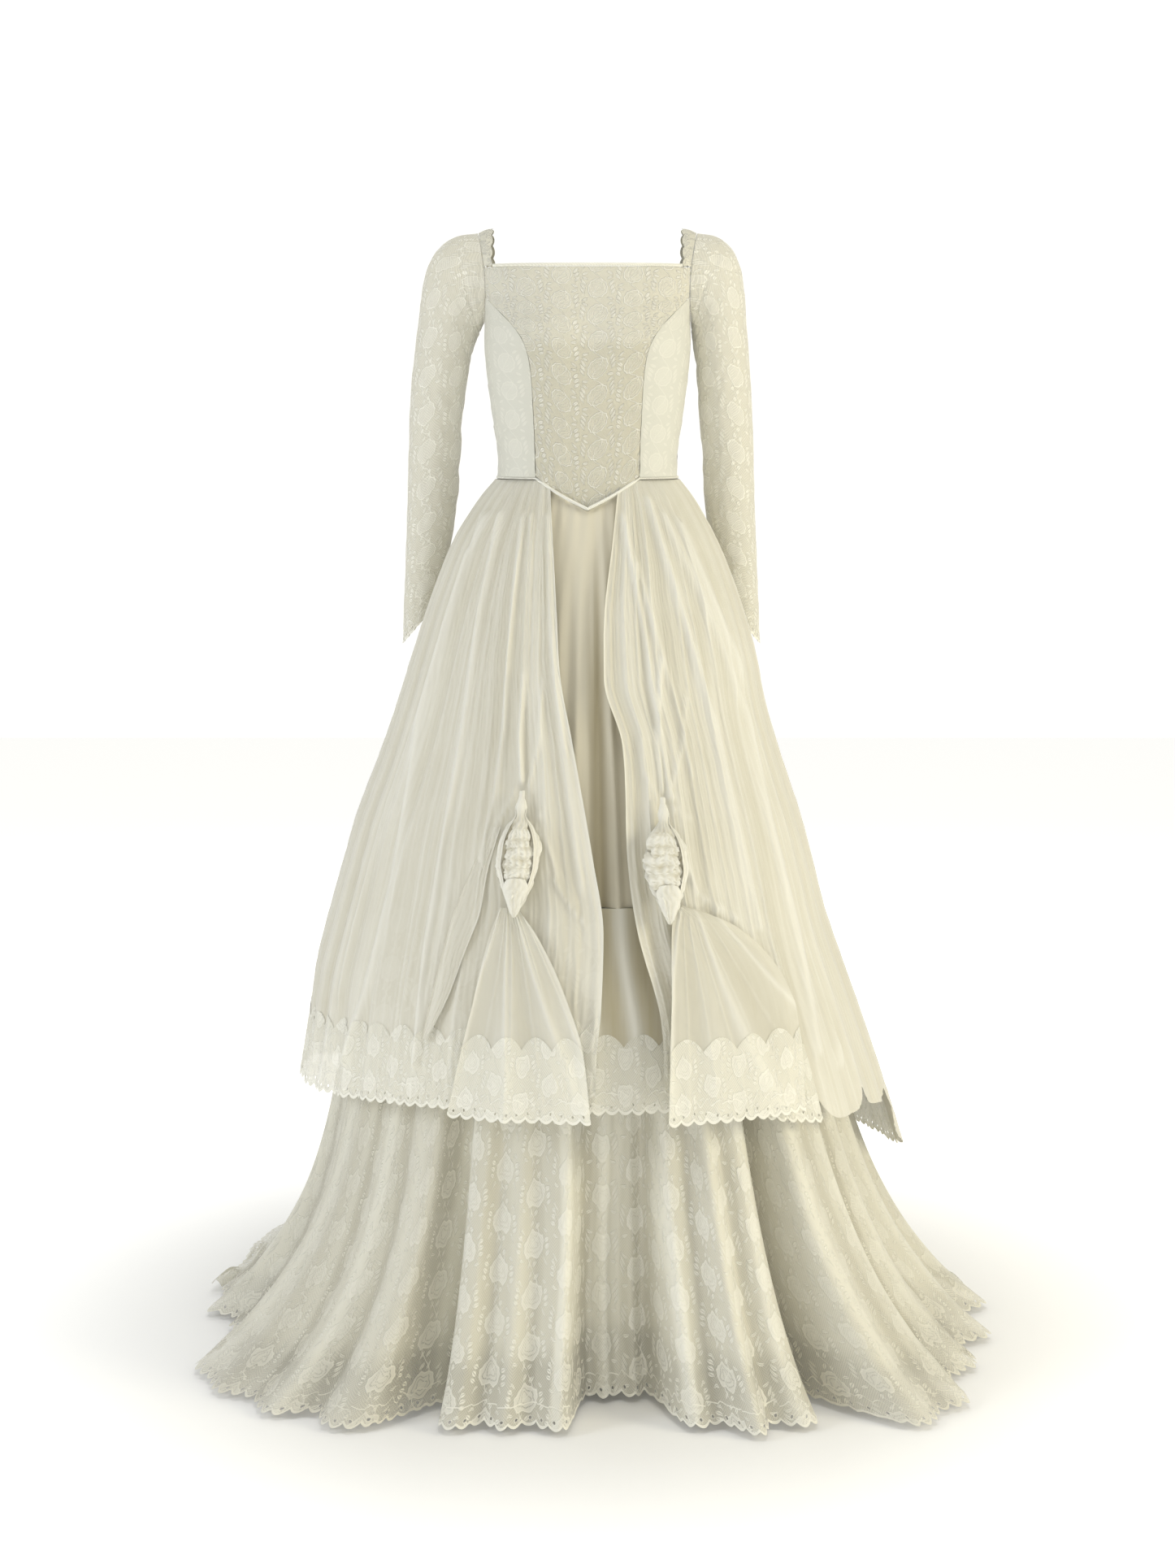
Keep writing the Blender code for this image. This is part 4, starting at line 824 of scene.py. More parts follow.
angles = np.linspace(-180.0, 180.0, 361)[:-1]
path = skirt_spots(angles, waist_height(angles), 0.0)
path[:, :2] *= PIPING_INSET
line = bpy.data.curves.new("waist_cord", "CURVE")
line.dimensions = "3D"
line.bevel_depth = PIPING_R
line.bevel_resolution = 3
run = line.splines.new("POLY")
run.points.add(len(path) - 1)
weighted = np.concatenate([path, np.ones((len(path), 1))], axis=1)
run.points.foreach_set("co", weighted.reshape(-1))
run.use_cyclic_u = True
waist_cord = bpy.data.objects.new("waist_cord", line)
bpy.context.scene.collection.objects.link(waist_cord)
bpy.ops.object.select_all(action="DESELECT")
waist_cord.select_set(True)
bpy.context.view_layer.objects.active = waist_cord
bpy.ops.object.convert(target="MESH")
bpy.ops.object.shade_smooth()
piping_satin = bias_satin("bias satin piping", (0.84, 0.83, 0.76), (0.68, 0.67, 0.58))
waist_cord.data.materials.append(piping_satin)
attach(waist_cord, "root")
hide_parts("waist_piping")


# Foundation skirt: a plain skirt of soft satin under the gathers, seen in
# front between the open edges. A few long soft folds run down its middle, the
# deepest just right of the centre.
TIER_Z = -0.845
UNDER_SEAM = 0.0006
GATHER = (
    # z, wave, inset
    (-0.318, 0.0006, 0.0036),
    (-0.345, 0.0030, 0.0060),
    (-0.400, 0.0050, 0.0090),
    (-0.470, 0.0070, 0.0120),
    (-0.610, 0.0100, 0.0170),
    (-0.845, 0.0140, 0.0260),
    (-1.260, 0.0180, 0.0300),
)
CENTRE_FOLDS = (
    # angle, half_width, out
    (-17.0, 2.2, 0.0040),
    (-12.5, 1.6, -0.0030),
    (-9.0, 1.8, 0.0045),
    (-5.4, 1.3, -0.0020),
    (-2.6, 1.5, 0.0045),
    (1.0, 1.1, -0.0040),
    (3.6, 1.7, -0.0120),
    (6.8, 1.4, 0.0050),
    (9.4, 1.2, -0.0030),
    (12.2, 1.6, 0.0045),
    (16.5, 2.0, -0.0030),
)


def under_lift(angle, z):
    """How far the foundation skirt lies inside the form, with its shallow waves."""
    inset = smooth_at(GATHER, 2, z)
    wave = np.cos(np.radians(angle * 12.0 + 18.0 * np.sin(np.radians(angle * 2.0))))
    return 0.12 * inset * wave - inset


def centre_folds(angle, z):
    """Listed folds of the foundation skirt, shallow at the waist."""
    total = 0.0 * angle
    for at, half, out in CENTRE_FOLDS:
        wander = 0.5 * np.sin(7.0 * z + at)
        total = total + out * np.exp(-(((angle - at - wander) / half) ** 2))
    return total * ease(WAIST_Z - 0.03, -0.66, z)


# The second colour is the foundation satin's painted shade in its folds.
under_satin = satin_finish("soft skirt satin", False, (0.63, 0.59, 0.47), (0.46, 0.41, 0.28))
for place, node, first, last, columns, rows in (
    ("front", "front", -52.0, 52.0, 200, 90),
    ("side_left", "left", -180.0, -52.0, 120, 50),
    ("side_right", "right", 52.0, 180.0, 120, 50),
):
    u, v = grid(columns, rows)
    angle = first + (last - first) * u
    z_top = waist_height(angle) - PIPE_GAP - UNDER_SEAM
    z = z_top + (TIER_Z - z_top) * v
    fold = centre_folds(angle, z)
    tight = 0.0006 * np.cos(np.radians(angle * 60.0)) * (1.0 - ease(0.0, 0.3, v))
    spots = skirt_spots(angle, z, under_lift(angle, z) + fold + tight)
    # Painted shade in the inward folds.
    painted_shade = np.clip(-fold / 0.010, 0.0, 1.0)
    skirt = sheet_of_cloth(
        "foundation_" + place, spots, under_satin, 0.9, painted_shade
    )
    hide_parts("underskirt_" + node)


# Lace tier: wide rose lace with a scalloped, eyeleted edge, sewn to the
# foundation skirt at knee height. It hangs to the floor in deep folds, laid
# in flat panels either side of the open front.
HEM_RISE = 0.005
TIER_HEM = (
    # angle, radius
    (-100.0, 0.5210),
    (-95.0, 0.5100),
    (-89.0, 0.5200),
    (-83.5, 0.4740),
    (-77.5, 0.4860),
    (-71.0, 0.5060),
    (-65.0, 0.5620),
    (-60.0, 0.5540),
    (-55.0, 0.5720),
    (-49.5, 0.5440),
    (-44.0, 0.5620),
    (-39.5, 0.5260),
    (-35.0, 0.5460),
    (-31.0, 0.5300),
    (-28.0, 0.4500),
    (-25.0, 0.3950),
    (-22.5, 0.4720),
    (-19.5, 0.4860),
    (-16.0, 0.4560),
    (-12.5, 0.4720),
    (-9.0, 0.4500),
    (-5.5, 0.4650),
    (-3.0, 0.4560),
    (-1.4, 0.3700),
    (0.6, 0.3400),
    (3.5, 0.3520),
    (6.5, 0.3400),
    (9.5, 0.3520),
    (12.0, 0.3380),
    (13.3, 0.3600),
    (14.8, 0.4520),
    (17.0, 0.4740),
    (20.0, 0.4660),
    (23.5, 0.5240),
    (27.0, 0.4930),
    (30.5, 0.5230),
    (33.8, 0.5020),
    (36.0, 0.4150),
    (38.2, 0.4300),
    (41.0, 0.5760),
    (44.5, 0.6060),
    (48.5, 0.5850),
    (53.0, 0.5960),
    (58.0, 0.5300),
    (64.0, 0.5580),
    (71.0, 0.5120),
    (78.0, 0.5460),
    (86.0, 0.5140),
    (93.0, 0.5460),
    (100.0, 0.5210),
)
TIER_FALL = (
    # angle, straight
    (-180.0, 0.60),
    (-100.0, 0.38),
    (-60.0, 0.34),
    (-35.0, 0.48),
    (-25.0, 0.72),
    (25.0, 0.72),
    (40.0, 0.62),
    (60.0, 0.56),
    (100.0, 0.54),
    (180.0, 0.60),
)
TRAIN = (
    # angle, touch, end
    (100.0, 0.5210, 0.5380),
    (112.0, 0.5100, 0.5420),
    (126.0, 0.5060, 0.5920),
    (140.0, 0.5060, 0.6460),
    (154.0, 0.5040, 0.7350),
    (167.0, 0.5000, 0.8150),
    (180.0, 0.5000, 0.8500),
)
TRAIN_START = 100.0
TRAIN_FOLD = 0.022
TIER_SCALLOP = 0.0190
TIER_SCALLOP_DEEP = 0.0055
TRAIN_SCALLOP_DEEP = 0.0060
TIER_ROWS = 84
TIER_FLAT_ROW = 0.85
LEAST_ABOVE_FLOOR = 0.001
# where the crisp see-through strip starts and stops, as angles from the front
CLEAR_STRIP = (-26.5, 36.5)
# width, eyelet height, eyelet half width, eyelet half length of the edge
TIER_EDGE = (TIER_SCALLOP, 0.0100, 0.0017, 0.0020)
TIER_LINING = (0.085, 0.25)


def tier_spots(angle, t, ripple):
    """The tier from its seam, t 0, to the floor, t 1, moved out by a ripple."""
    top_z = np.full(np.shape(angle), TIER_Z)
    top = skirt_spots(angle, top_z, under_lift(angle, top_z))
    turn = np.radians(angle)
    radius = smooth_at(TIER_HEM, 1, angle)
    fold = 1.0 - np.cos(np.radians(np.abs(angle) * 14.0 + 10.0))
    grow = (np.abs(angle) - TRAIN_START) / (180.0 - TRAIN_START)
    behind = smooth_at(TRAIN, 1, np.abs(angle)) - TRAIN_FOLD * fold * np.minimum(t, 1.0) * grow
    radius = np.where(np.abs(angle) > TRAIN_START, behind, radius) + ripple
    straight = smooth_at(TIER_FALL, 1, angle)
    s = straight * t + (1.0 - straight) * t**5
    x = top[..., 0] + (radius * np.sin(turn) - top[..., 0]) * s
    y = top[..., 1] + (-radius * np.cos(turn) - top[..., 1]) * s
    z = TIER_Z + (FLOOR_Z + HEM_RISE - TIER_Z) * t
    return np.stack([x, y, z], axis=2)


TIER_STRIPS = (
    # angle, half_width, depth of shade: below 0 is a double fold that catches light
    (-96.0, 3.0, 0.45),
    (-88.0, 2.2, -0.30),
    (-81.0, 3.2, 0.50),
    (-72.0, 2.5, -0.25),
    (-67.5, 1.6, 0.45),
    (-62.0, 1.8, -0.35),
    (-55.0, 2.0, 0.25),
    (-49.5, 1.5, 0.50),
    (-44.0, 1.6, -0.45),
    (-39.5, 1.6, 0.50),
    (-34.5, 1.5, -0.20),
    (-28.5, 1.6, 0.75),
    (-23.6, 1.2, -0.90),
    (-17.5, 1.0, 0.25),
    (-12.8, 1.2, -0.20),
    (-9.2, 0.9, 0.25),
    (-4.2, 1.0, -0.75),
    (-0.8, 1.2, 0.60),
    (3.2, 1.4, -0.60),
    (6.6, 1.2, -0.35),
    (11.4, 1.5, 0.25),
    (15.6, 1.1, -0.75),
    (20.2, 1.1, 0.30),
    (24.0, 1.2, -0.35),
    (27.4, 1.0, 0.30),
    (31.0, 1.2, -0.40),
    (37.0, 2.2, 0.80),
    (43.8, 1.5, -0.45),
    (48.6, 1.3, 0.35),
    (53.0, 1.4, -0.30),
    (58.5, 1.8, 0.60),
    (64.2, 1.5, -0.25),
    (71.0, 1.8, 0.50),
    (78.0, 1.8, -0.30),
    (86.0, 2.0, 0.50),
    (93.5, 1.8, -0.30),
)


def tier_shade(angle):
    """Light and shade of the tier's strips, added to what its folds cast."""
    total = 0.0 * angle
    for at, half, deep in TIER_STRIPS:
        total = total + deep * np.exp(-(((angle - at) / half) ** 4))
    return total


def scallop_rise(across, pitch, deep):
    """A scalloped edge: how far it lies above its lowest points."""
    return deep * (1.0 - np.abs(np.sin(math.pi * across / pitch)) ** 0.75)


u, v = grid(980, TIER_ROWS)
angle = -TRAIN_START + 2.0 * TRAIN_START * u
near_hem = tier_spots(angle, 0.97 + 0.0 * v, 0.0)
across = np.broadcast_to(run_length(near_hem, 1)[0], u.shape)
scallop = scallop_rise(across, TIER_SCALLOP, TIER_SCALLOP_DEEP)
flat_front = 1.0 - 0.8 * ease(-30.0, -24.0, angle) * (1.0 - ease(34.0, 38.0, angle))
ripple = 0.0042 * flat_front * np.cos(across * 62.0 + 1.9 * np.sin(across * 7.0)) * ease(0.1, 0.8, v)
ripple = ripple + 0.0030 * crumple(across * 12.0, v * 5.0, 0.4) * ease(0.2, 1.0, v)
crushed = np.exp(-(((angle - 66.0) / 13.0) ** 2)) + 0.7 * np.exp(-(((angle + 78.0) / 12.0) ** 2))
ripple = ripple + 0.010 * crushed * crumple(across * 46.0, v * 24.0, 1.7) * ease(0.78, 0.98, v)
ripple = ripple * ease(TRAIN_START, TRAIN_START - 9.0, np.abs(angle))
hem_share = 1.0 - scallop / (TIER_Z - FLOOR_Z)
spots = tier_spots(angle, v * hem_share, ripple)
spots[..., 2] = np.maximum(spots[..., 2], FLOOR_Z + LEAST_ABOVE_FLOOR)
shade = tier_shade(angle + 0.6 * np.sin(9.0 * v + 0.2 * angle)) * (0.75 + 0.25 * v)
flat_run = run_length(spots, 1)[int(TIER_FLAT_ROW * TIER_ROWS)]
seam_places = np.interp(CLEAR_STRIP, angle[0], flat_run)
tier_lace = open_lace(
    "rose lace flounce", 0.060, 0.062, 0.62,
    edge=TIER_EDGE, lined_above=TIER_LINING, net_shade=0.32, clear=tuple(seam_places),
)
lace_tier = sheet_of_cloth(
    "lace_tier", spots, tier_lace, TIER_FLAT_ROW, shade
)
tier_names = ("side_left", "front_left", "front_centre", "front_right", "side_right")
tier_nodes = [kind + name for kind in ("tier_", "hem_lace_") for name in tier_names]
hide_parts(*tier_nodes)


# Train: the same lace goes on round the back, long enough to lie on the
# floor behind in slow waves, with its scalloped edge flat on the ground.
train_lace = open_lace(
    "rose lace train", 0.060, 0.062, 0.70, edge=TIER_EDGE, lined_above=TIER_LINING, net_shade=0.04
)


def train_spots(angle, t, ripple):
    """The back of the tier: down to the floor at t 1, then out along it to t 2."""
    down = tier_spots(angle, np.minimum(t, 1.0), ripple)
    foot = tier_spots(angle, np.ones_like(t), 0.0 * t)
    reach = np.hypot(foot[..., 0], foot[..., 1])
    past = np.maximum(t - 1.0, 0.0)
    turn = np.radians(angle)
    radius = reach + (smooth_at(TRAIN, 2, np.abs(angle)) - reach) * past
    wave = 1.0 + np.cos(np.radians(np.abs(angle) * 14.0 + 10.0))
    bump = 0.006 * wave * np.sin(math.pi * np.minimum(1.0, past * 0.9))
    z = FLOOR_Z + HEM_RISE - 0.002 * past + bump
    z = z + np.maximum(ripple, 0.0) * ease(0.0, 0.15, past)
    lying = np.stack([radius * np.sin(turn), -radius * np.cos(turn), z], axis=2)
    return np.where((t > 1.0)[..., None], lying, down)


for first, last, place in ((-180.0, -TRAIN_START, "left"), (TRAIN_START, 180.0, "right")):
    u, v = grid(250, 125)
    angle = first + (last - first) * u
    t = 2.0 * v**0.85
    on_floor = train_spots(angle, 1.5 + 0.0 * v, 0.0 * v)
    across = np.broadcast_to(run_length(on_floor, 1)[0], u.shape)
    away = np.abs(angle)
    lying = np.maximum(0.03, smooth_at(TRAIN, 2, away) - smooth_at(TRAIN, 1, away))
    scallop = scallop_rise(across, TIER_SCALLOP, TRAIN_SCALLOP_DEEP) / lying
    t = t - scallop * ease(0.96, 1.0, v)
    ripple = 0.0040 * np.cos(across * 50.0 + 1.9 * np.sin(across * 6.0)) * ease(0.1, 0.8, t)
    ripple = ripple + 0.0050 * crumple(across * 20.0, t * 8.0, 2.2) * ease(0.3, 1.0, t)
    ripple = ripple * ease(TRAIN_START, TRAIN_START + 9.0, away) * ease(180.0, 172.0, away)
    spots = train_spots(angle, t, ripple)
    train = sheet_of_cloth(
        "lace_train_" + place, spots, train_lace, 0.6
    )
    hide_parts("train_" + place, "hem_lace_train_" + place)


# Overskirt: silk chiffon gathered hard into the waist seam and left open in
# front. Long uneven folds fall from the gathers and are drawn toward the two
# rosettes. Six panels are sewn edge to edge.
BORDER_H = 0.085
LOBE_RISE = 0.030
LOBES = 3.0
BORDER_LAP = 0.012
OVER_SEAM = 0.0004
CREASE_SHARE = 0.40
EDGE_ROLL = 0.0012
# Chiffon colour where light falls, in painted half shade and in full painted shade.
CHIFFON_LIGHT = (0.765, 0.75, 0.67)
CHIFFON_HALF_SHADE = (0.63, 0.605, 0.505)
CHIFFON_FULL_SHADE = (0.46, 0.41, 0.275)
OPEN_FRONT = (
    # z, left_x, right_x
    (-0.318, -0.0480, 0.0400),
    (-0.400, -0.0430, 0.0310),
    (-0.485, -0.0380, 0.0210),
    (-0.565, -0.0330, 0.0200),
    (-0.645, -0.0180, 0.0420),
    (-0.785, 0.0070, 0.0480),
    (-0.870, 0.0190, 0.0600),
    (-0.960, 0.0160, 0.0850),
    (-1.010, 0.0110, 0.0900),
    (-1.110, 0.0080, 0.0920),
)
OVER_HEM = (
    # angle, z
    (-180.0, -1.245),
    (-140.0, -1.190),
    (-100.0, -1.118),
    (-70.0, -1.104),
    (-40.0, -1.088),
    (-20.0, -1.080),
    (0.0, -1.062),
    (20.0, -1.092),
    (45.0, -1.118),
    (62.0, -1.124),
    (78.0, -1.140),
    (88.0, -1.205),
    (97.0, -1.238),
    (110.0, -1.248),
    (140.0, -1.250),
    (180.0, -1.245),
)
PANELS = (
    # place, first_angle, last_angle, columns, open edge column
    ("front_left", -48.0, 0.0, 200, 1),
    ("side_left", -97.0, -48.0, 190, 0),
    ("back_left", -180.0, -97.0, 280, 0),
    ("front_right", 0.0, 48.0, 200, 2),
    ("side_right", 48.0, 97.0, 190, 0),
    ("back_right", 97.0, 180.0, 280, 0),
)
LONG_CREASES = (
    # top_angle, low_angle, top_z, low_z, half_width, out
    (-44.0, -47.0, -0.33, -1.08, 0.9, 0.0050),
    (-37.0, -38.5, -0.40, -1.10, 0.7, 0.0042),
    (-30.0, -33.0, -0.33, -1.05, 0.8, 0.0055),
    (-25.0, -26.5, -0.55, -1.08, 0.6, 0.0040),
    (-19.0, -22.0, -0.33, -0.95, 0.8, 0.0052),
    (-12.0, -12.5, -0.33, -0.74, 0.7, 0.0046),
    (-6.5, -4.0, -0.36, -1.00, 0.7, 0.0048),
    (-2.0, -1.2, -0.45, -1.05, 0.5, 0.0035),
    (2.5, 2.0, -0.36, -0.98, 0.6, 0.0040),
    (7.0, 7.5, -0.33, -0.78, 0.8, 0.0052),
    (12.0, 12.0, -0.33, -0.72, 0.7, 0.0050),
    (18.0, 20.0, -0.33, -1.00, 0.8, 0.0048),
    (24.0, 27.0, -0.50, -1.08, 0.6, 0.0038),
    (30.0, 32.5, -0.33, -1.05, 0.9, 0.0055),
    (37.0, 38.0, -0.42, -1.10, 0.7, 0.0042),
    (44.0, 45.5, -0.33, -1.02, 0.8, 0.0050),
)
PUCKERS = (
    # points (x, z), half_width, out
    # long ridges that fall from the waist
    (((-0.133, -0.366), (-0.172, -0.485), (-0.212, -0.625),
      (-0.243, -0.819), (-0.281, -0.969), (-0.307, -1.048)), 0.0050, 0.0065),
    (((-0.111, -0.366), (-0.135, -0.485), (-0.155, -0.625),
      (-0.175, -0.741), (-0.201, -0.899), (-0.212, -1.035)), 0.0045, 0.0065),
    (((-0.083, -0.366), (-0.095, -0.485), (-0.104, -0.625),
      (-0.116, -0.711), (-0.133, -0.788)), 0.0040, 0.0050),
    (((-0.071, -0.366), (-0.078, -0.485), (-0.083, -0.625), (-0.082, -0.691)), 0.0034, 0.0046),
    (((-0.051, -0.366), (-0.047, -0.505), (-0.029, -0.666), (-0.007, -0.818)), 0.0040, 0.0036),
    (((-0.150, -0.415), (-0.202, -0.585), (-0.252, -0.727),
      (-0.297, -0.880), (-0.324, -0.983)), 0.0060, 0.0045),
    (((0.045, -0.366), (0.067, -0.485), (0.089, -0.625), (0.101, -0.706)), 0.0036, 0.0048),
    (((0.077, -0.346), (0.118, -0.485), (0.158, -0.625),
      (0.189, -0.761), (0.214, -0.875)), 0.0050, 0.0062),
    (((0.097, -0.366), (0.161, -0.505), (0.205, -0.625),
      (0.231, -0.751), (0.266, -0.890), (0.291, -1.035)), 0.0055, 0.0052),
    (((0.117, -0.376), (0.181, -0.525), (0.244, -0.686),
      (0.286, -0.829), (0.316, -0.962), (0.322, -1.056)), 0.0060, 0.0056),
    (((0.062, -0.425), (0.112, -0.605), (0.129, -0.686)), 0.0038, 0.0034),
    # short ones where a rosette draws the chiffon together
    (((-0.043, -0.803), (-0.022, -0.838), (-0.001, -0.859)), 0.0022, 0.0040),
    (((-0.074, -0.735), (-0.050, -0.762), (-0.038, -0.800)), 0.0026, 0.0032),
    (((-0.092, -0.705), (-0.108, -0.735), (-0.132, -0.800)), 0.0028, 0.0036),
    (((-0.080, -0.690), (-0.084, -0.640), (-0.078, -0.560)), 0.0032, 0.0040),
    (((-0.072, -0.694), (-0.060, -0.640), (-0.056, -0.570)), 0.0028, 0.0030),
    (((-0.076, -0.728), (-0.061, -0.731), (-0.046, -0.726)), 0.0016, 0.0022),
    (((0.087, -0.711), (0.120, -0.708), (0.154, -0.714)), 0.0018, 0.0042),
    (((0.104, -0.722), (0.134, -0.741), (0.160, -0.745)), 0.0018, 0.0028),
    (((0.1155, -0.774), (0.1355, -0.827), (0.192, -0.866)), 0.0026, 0.0050),
    (((0.092, -0.700), (0.086, -0.640), (0.092, -0.540)), 0.0032, 0.0042),
    (((0.104, -0.700), (0.118, -0.650), (0.124, -0.590)), 0.0028, 0.0032),
    (((0.084, -0.704), (0.070, -0.680), (0.066, -0.640)), 0.0022, 0.0028),
)
FOLD_DEPTH = (
    # z, depth of the small folds
    (-0.318, 0.0012),
    (-0.360, 0.0020),
    (-0.450, 0.0024),
    (-0.620, 0.0028),
    (-0.900, 0.0032),
    (-1.260, 0.0034),
)


def over_wave(angle):
    """Main gathers of the overskirt, uneven in spacing and depth."""
    drift = 16.0 * np.sin(np.radians(angle * 3.0 + 20.0)) + 9.0 * np.sin(np.radians(angle * 7.0))
    depth = 0.70 + 0.30 * np.sin(np.radians(angle * 5.0 + 40.0))
    return 0.25 + 0.75 * depth * np.cos(np.radians(angle * 40.0 + drift))


def crest(phase):
    """A fold seen in section: narrow on top, wide and soft in the trough."""
    return (np.cos(phase) + 0.32 * np.cos(2.0 * phase) + 0.08 * np.cos(3.0 * phase)) / 1.40


def small_folds(nominal, z):
    """Soft folds between the main gathers, 0 to 1, and thin ridges pressed over them."""
    turn = np.radians(nominal)
    sway = 2.6 * np.sin(2.3 * turn + 0.9) + 2.0 * np.sin(5.7 * turn + 1.6 * z)
    sway = sway + 1.3 * np.sin(13.1 * turn - 2.0 * z)
    soft = 0.5 + 0.34 * np.cos(25.0 * turn + sway + 0.6 * np.sin(4.0 * z))
    soft = soft + 0.16 * np.cos(52.0 * turn - 1.3 * sway + 0.8 * np.sin(5.0 * z + 4.0 * turn))
    here = ease(0.15, 0.75, 0.5 + 0.5 * np.sin(11.0 * turn + 3.0 * z + 1.5 * np.sin(3.0 * turn)))
    there = ease(0.25, 0.80, 0.5 + 0.5 * np.sin(17.0 * turn - 4.0 * z + 1.0))
    first = np.exp(-(1.0 - np.cos(34.0 * turn + 1.2 * sway + 0.5 * np.sin(6.0 * z))) * 15.0)
    second = np.exp(-(1.0 - np.cos(73.0 * turn - 1.6 * sway + 0.9 * np.sin(5.0 * z + 2.0))) * 13.0)
    third = np.exp(-(1.0 - np.cos(128.0 * turn + 1.4 * sway)) * 9.0)
    near_waist = 1.0 - ease(-0.62, -0.42, z)
    thin = np.maximum(first * (0.12 + 0.60 * here), second * there * 0.40)
    return soft, np.maximum(thin, third * (0.10 + 0.40 * near_waist))


def near_line(x, z, points, half):
    """1 on a line through the given points on the front, fading with distance."""
    best = np.full(np.shape(x), 1.0e3)
    for (x1, z1), (x2, z2) in zip(points, points[1:]):
        dx = x2 - x1
        dz = z2 - z1
        t = np.clip(((x - x1) * dx + (z - z1) * dz) / (dx * dx + dz * dz), 0.0, 1.0)
        best = np.minimum(best, np.hypot(x - x1 - dx * t, z - z1 - dz * t))
    return np.exp(-((best / half) ** 2))


def hand_creases(nominal, x, z):
    """Long ridges listed in front, and puckers drawn toward the rosettes."""
    total = 0.0 * nominal
    for top_angle, low_angle, top_z, low_z, half, out in LONG_CREASES:
        share = np.clip((z - top_z) / (low_z - top_z), 0.0, 1.0)
        at = top_angle + (low_angle - top_angle) * share + 0.35 * np.sin(9.0 * z + top_angle)
        ends = ease(top_z + 0.02, top_z - 0.10, z) * ease(low_z - 0.06, low_z + 0.10, z)
        total = total + CREASE_SHARE * out * ends * np.exp(-(((nominal - at) / half) ** 2))
    for points, half, out in PUCKERS:
        total = total + out * near_line(x, z, points, half) * (np.abs(nominal) < 60.0)
    return total


def over_spots(nominal, z, first, last, edge, proud=0.0):
    """Overskirt points; nominal angles keep the folds on a slanting free edge."""
    angle = nominal
    if edge:
        free = angle_of_x(smooth_at(OPEN_FRONT, edge, z), z)
        part = (nominal - first) / (last - first)
        angle = first + (free - first) * part if edge == 1 else free + (last - free) * part
    gather = smooth_at(GATHER, 1, z)
    wave = over_wave(nominal + 0.5 * np.sin(8.0 * z + 0.1 * nominal))
    soft, thin = small_folds(nominal, z)
    depth = smooth_at(FOLD_DEPTH, 1, z)
    main = gather * (0.22 * wave + 0.46)
    fine = depth * (0.62 * (soft - 1.0) + 0.38 * thin)
    x = skirt_spots(angle, z, main)[..., 0]
    extra = hand_creases(nominal, x, z)
    ripple = 0.0006 * crumple(nominal * 2.2, z * 60.0, 0.3)
    lift = main + fine + extra + ripple + proud
    # Painted shade of the overskirt: deep in the folds and gathers, with painted highlights on thin
    # ridges and creases; it is weaker right at the waist seam.
    tone = 0.54 - 0.20 * soft - 0.30 * thin - 0.12 * wave - 60.0 * extra
    if edge:
        free_side = part if edge == 1 else 1.0 - part
        rolled = ease(0.985, 1.0, free_side)
        lift = lift + EDGE_ROLL * rolled
        # A painted highlight along the rolled free edge.
        tone = tone - 0.8 * rolled
    start = ease(WAIST_Z + 0.01, WAIST_Z - 0.05, z)
    return skirt_spots(angle, z, lift), np.clip(tone, 0.0, 1.0) * (0.6 + 0.4 * start)


def chiffon_finish(name, cover, lace_below=False):
    """Soft crinkled chiffon: thin crests in painted highlight on a warmer ground, with beige painted
    shade in its folds.
    """
    made, tree, shader, flat, across, up = cloth_finish(name, 0.58, 0.40)
    stretched = tree.nodes.new("ShaderNodeMapping")
    stretched.inputs["Scale"].default_value = (150.0, 7.0, 1.0)
    tree.links.new(flat, stretched.inputs["Vector"])
    crinkle = cloud(tree, stretched.outputs["Vector"], 1.0, 3.0)
    tone = painted_fold_shade(tree) + (cloud(tree, flat, 8.0, 3.0) - 0.5) * 0.35
    tone = tone + (crinkle - 0.5) * 0.35
    half_shade_share = (tone * 2.1).most(0.0).least(1.0)
    colour = blend_colour(tree, half_shade_share, CHIFFON_LIGHT, CHIFFON_HALF_SHADE)
    full_shade_share = ((tone - 0.52) * 2.1).most(0.0).least(1.0)
    colour = blend_colour(tree, full_shade_share, colour, CHIFFON_FULL_SHADE)
    if lace_below:
        motif = rose_lace(tree, flat, across, up, 0.060, 0.062)[0]
        low = up.within(0.14, 0.12)
        colour = blend_colour(tree, motif * low * 0.30, colour, CHIFFON_LIGHT)
    tree.links.new(colour, shader.inputs["Base Color"])
    weave = (across * 4200.0).step("SINE") * (up * 4200.0).step("SINE")
    raise_by(tree, shader, weave * 0.06 + crinkle * 0.9, 0.30, 0.0014)
    if cover < 1.0:
        alpha = crinkle * 0.06 + (cover - 0.03)
        tree.links.new(alpha.least(1.0).socket, shader.inputs["Alpha"])
    return made


